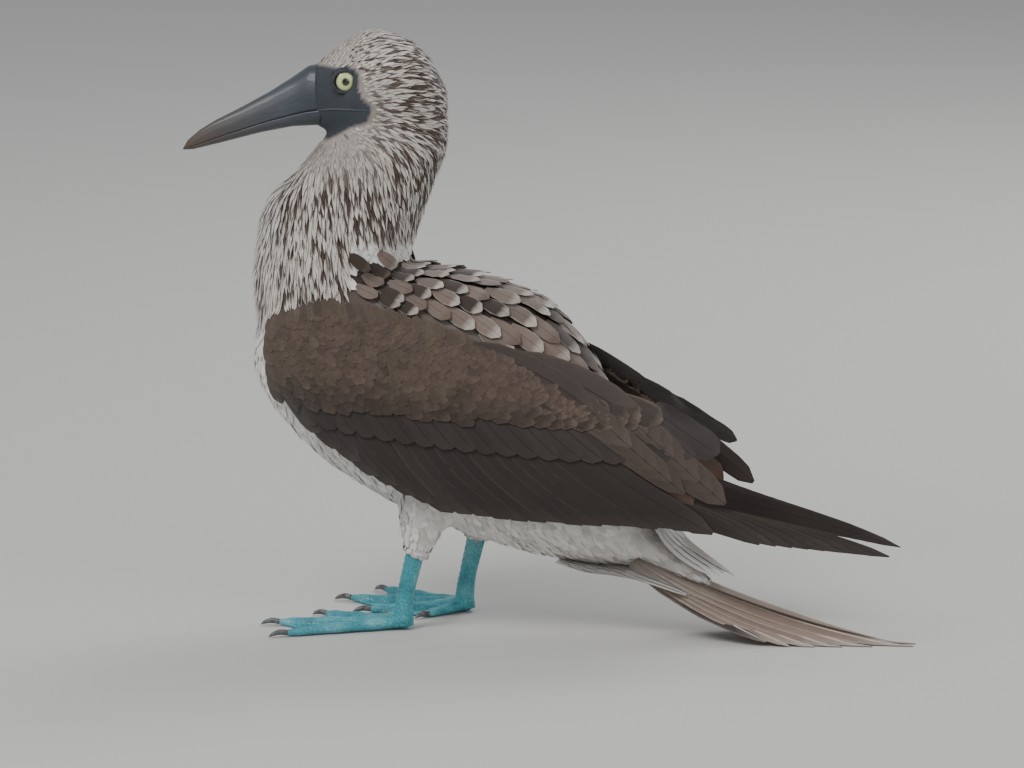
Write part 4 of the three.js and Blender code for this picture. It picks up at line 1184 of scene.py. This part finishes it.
def make_bill(upper_half, material):
    """One half of the bill: horn with a fine groove beside the culmen and a cutting edge at the mouth."""
    STEPS, SIDES = 46, 36
    GROOVE_DEPTH, GROOVE_PLACE, GROOVE_WIDTH = 0.5, 0.66, 0.08
    edge = CULMEN if upper_half else CHIN
    slit = (MOUTH_SLIT if upper_half else -MOUTH_SLIT) / 2
    rings = []
    for i in range(STEPS + 1):
        x = BILL_RUN[0] + (BILL_RUN[1] - BILL_RUN[0]) * (i / STEPS) ** 1.1
        wide = height_on(BILL_WIDTH, x)
        mouth = height_on(MOUTH, x) + slit
        reach = height_on(edge, x) - mouth
        ring = []
        for s in range(SIDES):
            turn = 2 * math.pi * (s + 0.5) / SIDES
            c, d = math.cos(turn), math.sin(turn)
            if d < 0:
                ring.append(head_place((x, 0.97 * wide * c, mouth)))
                continue
            bell = math.exp(-(((d - GROOVE_PLACE) / GROOVE_WIDTH) ** 2))
            out = wide - (GROOVE_DEPTH * bell if upper_half else 0)
            ring.append(head_place((x, out * math.copysign(abs(c) ** 0.75, c), mouth + reach * d)))
        rings.append(ring)
    bm = bmesh.new()
    loops = loft(bm, rings)
    layer = bm.loops.layers.uv.new("Length")
    share = {vert: (i / STEPS, s / SIDES) for i, loop in enumerate(loops) for s, vert in enumerate(loop)}
    for face in bm.faces:
        for corner in face.loops:
            along, around = share[corner.vert]
            corner[layer].uv = (along, 0.5 - abs(around - 0.5))
    name = "upper" if upper_half else "lower"
    piece = finish_mesh(bm, f"bill_{name}_horn", material)
    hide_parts(f"bill_{name}")


def eye_matrix(side, out=0):
    """Where an eye sits in the head, turned a little forwards and moved out from its centre."""
    place = head_place((EYE["x"], side * (EYE["y"] + out), EYE["z"]))
    return Matrix.Translation(place) @ HEAD_TURN @ Matrix.Rotation(-side * EYE["turn"], 4, "Z")


def make_eye(side, material):
    """An eyeball, with the iris mapped from its own axis."""
    bm = bmesh.new()
    bmesh.ops.create_uvsphere(bm, u_segments=40, v_segments=24, radius=EYE["radius"])
    layer = bm.loops.layers.uv.new("Iris")
    for face in bm.faces:
        for corner in face.loops:
            at = corner.vert.co / (2 * EYE["radius"])
            corner[layer].uv = (0.5 + at.x, 0.5 + at.z)
    bmesh.ops.scale(bm, vec=(1, EYE_FLAT, 1), verts=bm.verts)
    bmesh.ops.transform(bm, matrix=eye_matrix(side), verts=bm.verts)
    piece = finish_mesh(bm, f"eyeball_{SIDE_NAMES[side]}", material)
    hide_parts(f"eye_{SIDE_NAMES[side]}")


def paint(bm, colour):
    """One Ground colour over a whole piece of bare skin."""
    layer = bm.verts.layers.float_color.new("Ground")
    for vert in bm.verts:
        vert[layer] = (*colour, 1)


def make_lids(side, material):
    """The ring of bare lid round an eye: a wrinkled roll of skin, a little longer than it is high."""
    TURNS, SIDES, WRINKLES, OUT = 48, 12, 9, 3.4
    reach, outward = EYE["radius"] * 0.93, Vector((0, 1, 0))
    rings = []
    for i in range(TURNS):
        a = 2 * math.pi * i / TURNS
        swell = 1.25 + 0.15 * math.sin(WRINKLES * a)
        centre = Vector((reach * math.cos(a) * 1.02, 0, reach * math.sin(a) * 0.96))
        radial = centre.normalized()
        turns = [2 * math.pi * s / SIDES for s in range(SIDES)]
        rings.append([
            centre + radial * math.cos(b) * swell + outward * math.sin(b) * swell * 1.2 for b in turns
        ])
    bm = bmesh.new()
    loft(bm, rings, closed=True)
    bmesh.ops.transform(bm, matrix=eye_matrix(side, OUT), verts=bm.verts)
    paint(bm, COLOUR["bare"])
    finish_mesh(bm, f"eyelids_{SIDE_NAMES[side]}", material)


def make_gape_line(side, surface, material):
    """The fold of bare skin that carries the line of the mouth on from the bill to below the eye."""
    FRONT, BACK, OUTSIDE = -42, -7, 60
    places = []
    for x in np.linspace(FRONT, BACK, 8):
        outside = Vector(head_place((x, side * OUTSIDE, height_on(MOUTH, x))))
        inside = Vector(head_place((x, 0, height_on(MOUTH, x))))
        spot, _, _, _ = surface.tree.ray_cast(outside, (inside - outside).normalized())
        places.append(spot)
    bm = bmesh.new()
    tube(bm, places, (0.55, 0.75, 0.7, 0.3), 8, 28)
    paint(bm, COLOUR["bare"] * 1.8)
    finish_mesh(bm, f"gape_line_{SIDE_NAMES[side]}", material)


# Legs and feet

# Toes as (turn outwards in degrees, length): hallux, inner, middle, outer
TOES = ((-62, 34), (-27, 66), (2, 86), (28, 84))
TURN_OUT = 6
# A claw's line as (length past the toe's end, height), and the tarsus's from the heel as (x, outwards, z)
CLAW_LINE = ((-2, 3), (3, 3.6), (8, 2.4), (10.5, 0.7))
LEG_LINE = ((-1, 0, 3), (1, 0, 22), (7, 0, 48), (14, -2, 76))


def make_leg(side, material):
    """A tarsus with its scutes as shallow rings in front."""
    STEPS, SIDES, SCUTE_DEPTH = 60, 24, 0.22
    places = [(HEEL_X[side] + x, side * (LEG_Y + y), z) for x, y, z in LEG_LINE]
    rings = []
    for i, at in enumerate(spline(places, STEPS + 1)):
        radius = np.interp(i / STEPS, (0, 0.12, 0.4, 0.7, 1), (7.6, 6.4, 5.7, 6.3, 6.6))
        ring = []
        for s in range(SIDES):
            a = 2 * math.pi * s / SIDES
            scute = SCUTE_DEPTH * max(0, -math.cos(a)) * math.sin(i * 1.9)
            offset = ((radius + scute) * math.cos(a) * 1.02, (radius * 0.92 + scute) * math.sin(a), 0)
            ring.append(Vector(at) + Vector(offset))
        rings.append(ring)
    bm = bmesh.new()
    loft(bm, rings)
    name = SIDE_NAMES[side]
    piece = finish_mesh(bm, f"tarsus_{name}", material)
    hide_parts(f"leg_{name}")


def toe_point(side, toe, share, rise):
    """A point over a toe, by its share of the toe's length from the heel and its height."""
    turn, length = toe
    a = math.radians(turn + TURN_OUT)
    x = HEEL_X[side] - math.cos(a) * length * share
    return Vector((x, side * LEG_Y + side * math.sin(a) * length * share, rise))


def add_toe(bm, side, toe):
    """A toe that thickens at its knuckles."""
    STEPS, LONG_TOE, KNUCKLE, KNUCKLE_WIDTH = 30, 50, 0.7, 0.05
    joints = (0, 0.3, 0.62, 0.9) if toe[1] > LONG_TOE else (0, 0.5, 0.9)
    line = [toe_point(side, toe, *place) for place in ((-0.03, 6.5), (0.3, 4.4), (0.62, 3.8), (0.98, 2.8))]
    sizes = []
    for i in range(STEPS + 1):
        t = i / STEPS
        knuckle = max(math.exp(-(((t - joint) / KNUCKLE_WIDTH) ** 2)) for joint in joints)
        sizes.append(np.interp(t, (0, 0.25, 0.8, 1), (6.6, 4.6, 3.5, 2.5)) + KNUCKLE * knuckle)
    tube(bm, line, sizes, 14, STEPS, 0.82)


def add_web(bm, side, first, second):
    """The web between two toes, with a hollow edge and slight folds."""
    STEPS, REACH, START, FOLD = 14, 16, 0.04, 0.5
    rings = []
    for i in range(STEPS + 1):
        t = i / STEPS
        toe = (first[0] + (second[0] - first[0]) * t, first[1] + (second[1] - first[1]) * t)
        far = 0.96 * (1 - 0.15 * math.sin(math.pi * t))
        shares = [START + (far - START) * k / REACH for k in range(REACH + 1)]
        folds = [FOLD * math.sin(3 * math.pi * t) * math.sin(7 * s) for s in shares]
        tops = [toe_point(side, toe, s, 2.6 - 0.5 * s + fold) for s, fold in zip(shares, folds)]
        lows = [toe_point(side, toe, s, 0.1) for s in reversed(shares)]
        rings.append(tops + lows)
    loft(bm, rings)


def make_foot(side, material, claw):
    """A foot with all four toes in one web, made one by a remesh, and its claws."""
    VOXEL_MM, SMOOTH_ROUNDS = 1.1, 2
    bm = bmesh.new()
    for toe in TOES:
        add_toe(bm, side, toe)
    for first, second in zip(TOES, TOES[1:]):
        add_web(bm, side, first, second)
    bmesh.ops.transform(bm, matrix=TO_FRAME, verts=bm.verts)
    bmesh.ops.recalc_face_normals(bm, faces=bm.faces)
    name = SIDE_NAMES[side]
    mesh = remeshed(bm, f"webbed_foot_{name}", VOXEL_MM, SMOOTH_ROUNDS)
    places, _ = arrays_of(mesh)
    places[:, 2] = np.maximum(places[:, 2], 0)
    mesh.vertices.foreach_set("co", places.ravel())
    mesh.update()
    piece = finish_piece(mesh, mesh.name, material)
    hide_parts(f"foot_{name}")

    bm = bmesh.new()
    for turn, length in TOES:
        line = [toe_point(side, (turn, length + more), 1, z) for more, z in CLAW_LINE]
        tube(bm, line, (1.9, 1.9, 1.3, 0.25), 12, 14)
    finish_mesh(bm, f"claws_{name}", claw)


# Stage


def studio():
    """A plain pale floor, soft lights and the photo's own viewpoint."""
    collection = bpy.context.scene.collection
    bm = bmesh.new()
    bmesh.ops.create_grid(bm, x_segments=1, y_segments=1, size=6)
    mesh = bpy.data.meshes.new("floor")
    bm.to_mesh(mesh)
    bm.free()
    floor = bpy.data.objects.new("floor", mesh)
    collection.objects.link(floor)
    matt, _ = new_material("pale floor", 0.9, Base_Color=linear("#c9c7c3"))
    mesh.materials.append(matt)

    world = bpy.data.worlds.new("studio")
    bpy.context.scene.world = world
    world.use_nodes = True
    world.node_tree.nodes["Background"].inputs["Color"].default_value = linear("#dfe3e8")
    world.node_tree.nodes["Background"].inputs["Strength"].default_value = 0.55
    target = Vector((0, 0, 0.17))
    for name, place, power, size in (
        ("key", (-0.9, -1.6, 2.2), 42, 1.2),
        ("fill", (1.9, -1.2, 1.0), 14, 1.6),
        ("rim", (0.6, 1.9, 1.7), 26, 1.2),
    ):
        light = bpy.data.lights.new(name, "AREA")
        light.energy = power
        light.size = size
        lamp = bpy.data.objects.new(name, light)
        lamp.location = place
        lamp.rotation_euler = (target - Vector(place)).to_track_quat("-Z", "Y").to_euler()
        collection.objects.link(lamp)

    AZIMUTH, ELEVATION, DISTANCE, FRAME_WIDTH = math.radians(15), math.radians(10), 6.0, 0.683
    look_at = Vector(framed((49.7, 0, 163.4)))
    level = math.cos(ELEVATION)
    back = Vector((math.sin(AZIMUTH) * level, -math.cos(AZIMUTH) * level, math.sin(ELEVATION)))
    lens = bpy.data.cameras.new("camera")
    lens.sensor_width = 36
    lens.lens = lens.sensor_width * DISTANCE / FRAME_WIDTH
    lens.clip_end = 50
    camera = bpy.data.objects.new("camera", lens)
    camera.location = look_at + back * DISTANCE
    camera.rotation_euler = (-back).to_track_quat("-Z", "Y").to_euler()
    collection.objects.link(camera)
    bpy.context.scene.camera = camera


studio()
bare_skin = skin_material()
streaky = plumage("streaked head and neck feathers", shaft_share=0.0, tip_from=2.0, rim_from=0.5)
white = plumage("white body feathers", shaft_share=0.0, mottle=0.05)
brown = plumage("brown covert feathers", shaft="#2e2622", shaft_share=0.25, shaft_mm=0.25, mottle=0.28)
mantle = plumage("pale tipped mantle feathers", shaft="#2e2622", shaft_share=0.4, tip_from=0.7, rim_from=0.85)
dark = plumage("dark flight feathers", roughness=0.62, shaft="#1d1816", shaft_share=0.7, shaft_mm=0.5)
pale_shafts = plumage("tail feathers", roughness=0.66, shaft="#d9d0c6", shaft_share=0.85, shaft_mm=0.8)
horn, scaly, claw_horn, wet_eye = horn_material(), scaled_skin_material(), claw_material(), eye_material()

skin = make_skin(bare_skin)
surface = Surface(skin.data)
body_coats(surface, streaky, white)
for side in (LEFT, RIGHT):
    make_wing_coverts(side, surface, brown)
    make_secondaries(side, surface, dark)
    make_primaries(side, surface, dark)
    make_scapulars(side, surface, mantle)
    make_eye(side, wet_eye)
    make_lids(side, bare_skin)
    make_gape_line(side, surface, bare_skin)
    make_leg(side, scaly)
    make_foot(side, scaly, claw_horn)
make_tail(pale_shafts)
make_tail_coverts(True, white)
make_tail_coverts(False, white)
make_bill(True, horn)
make_bill(False, horn)
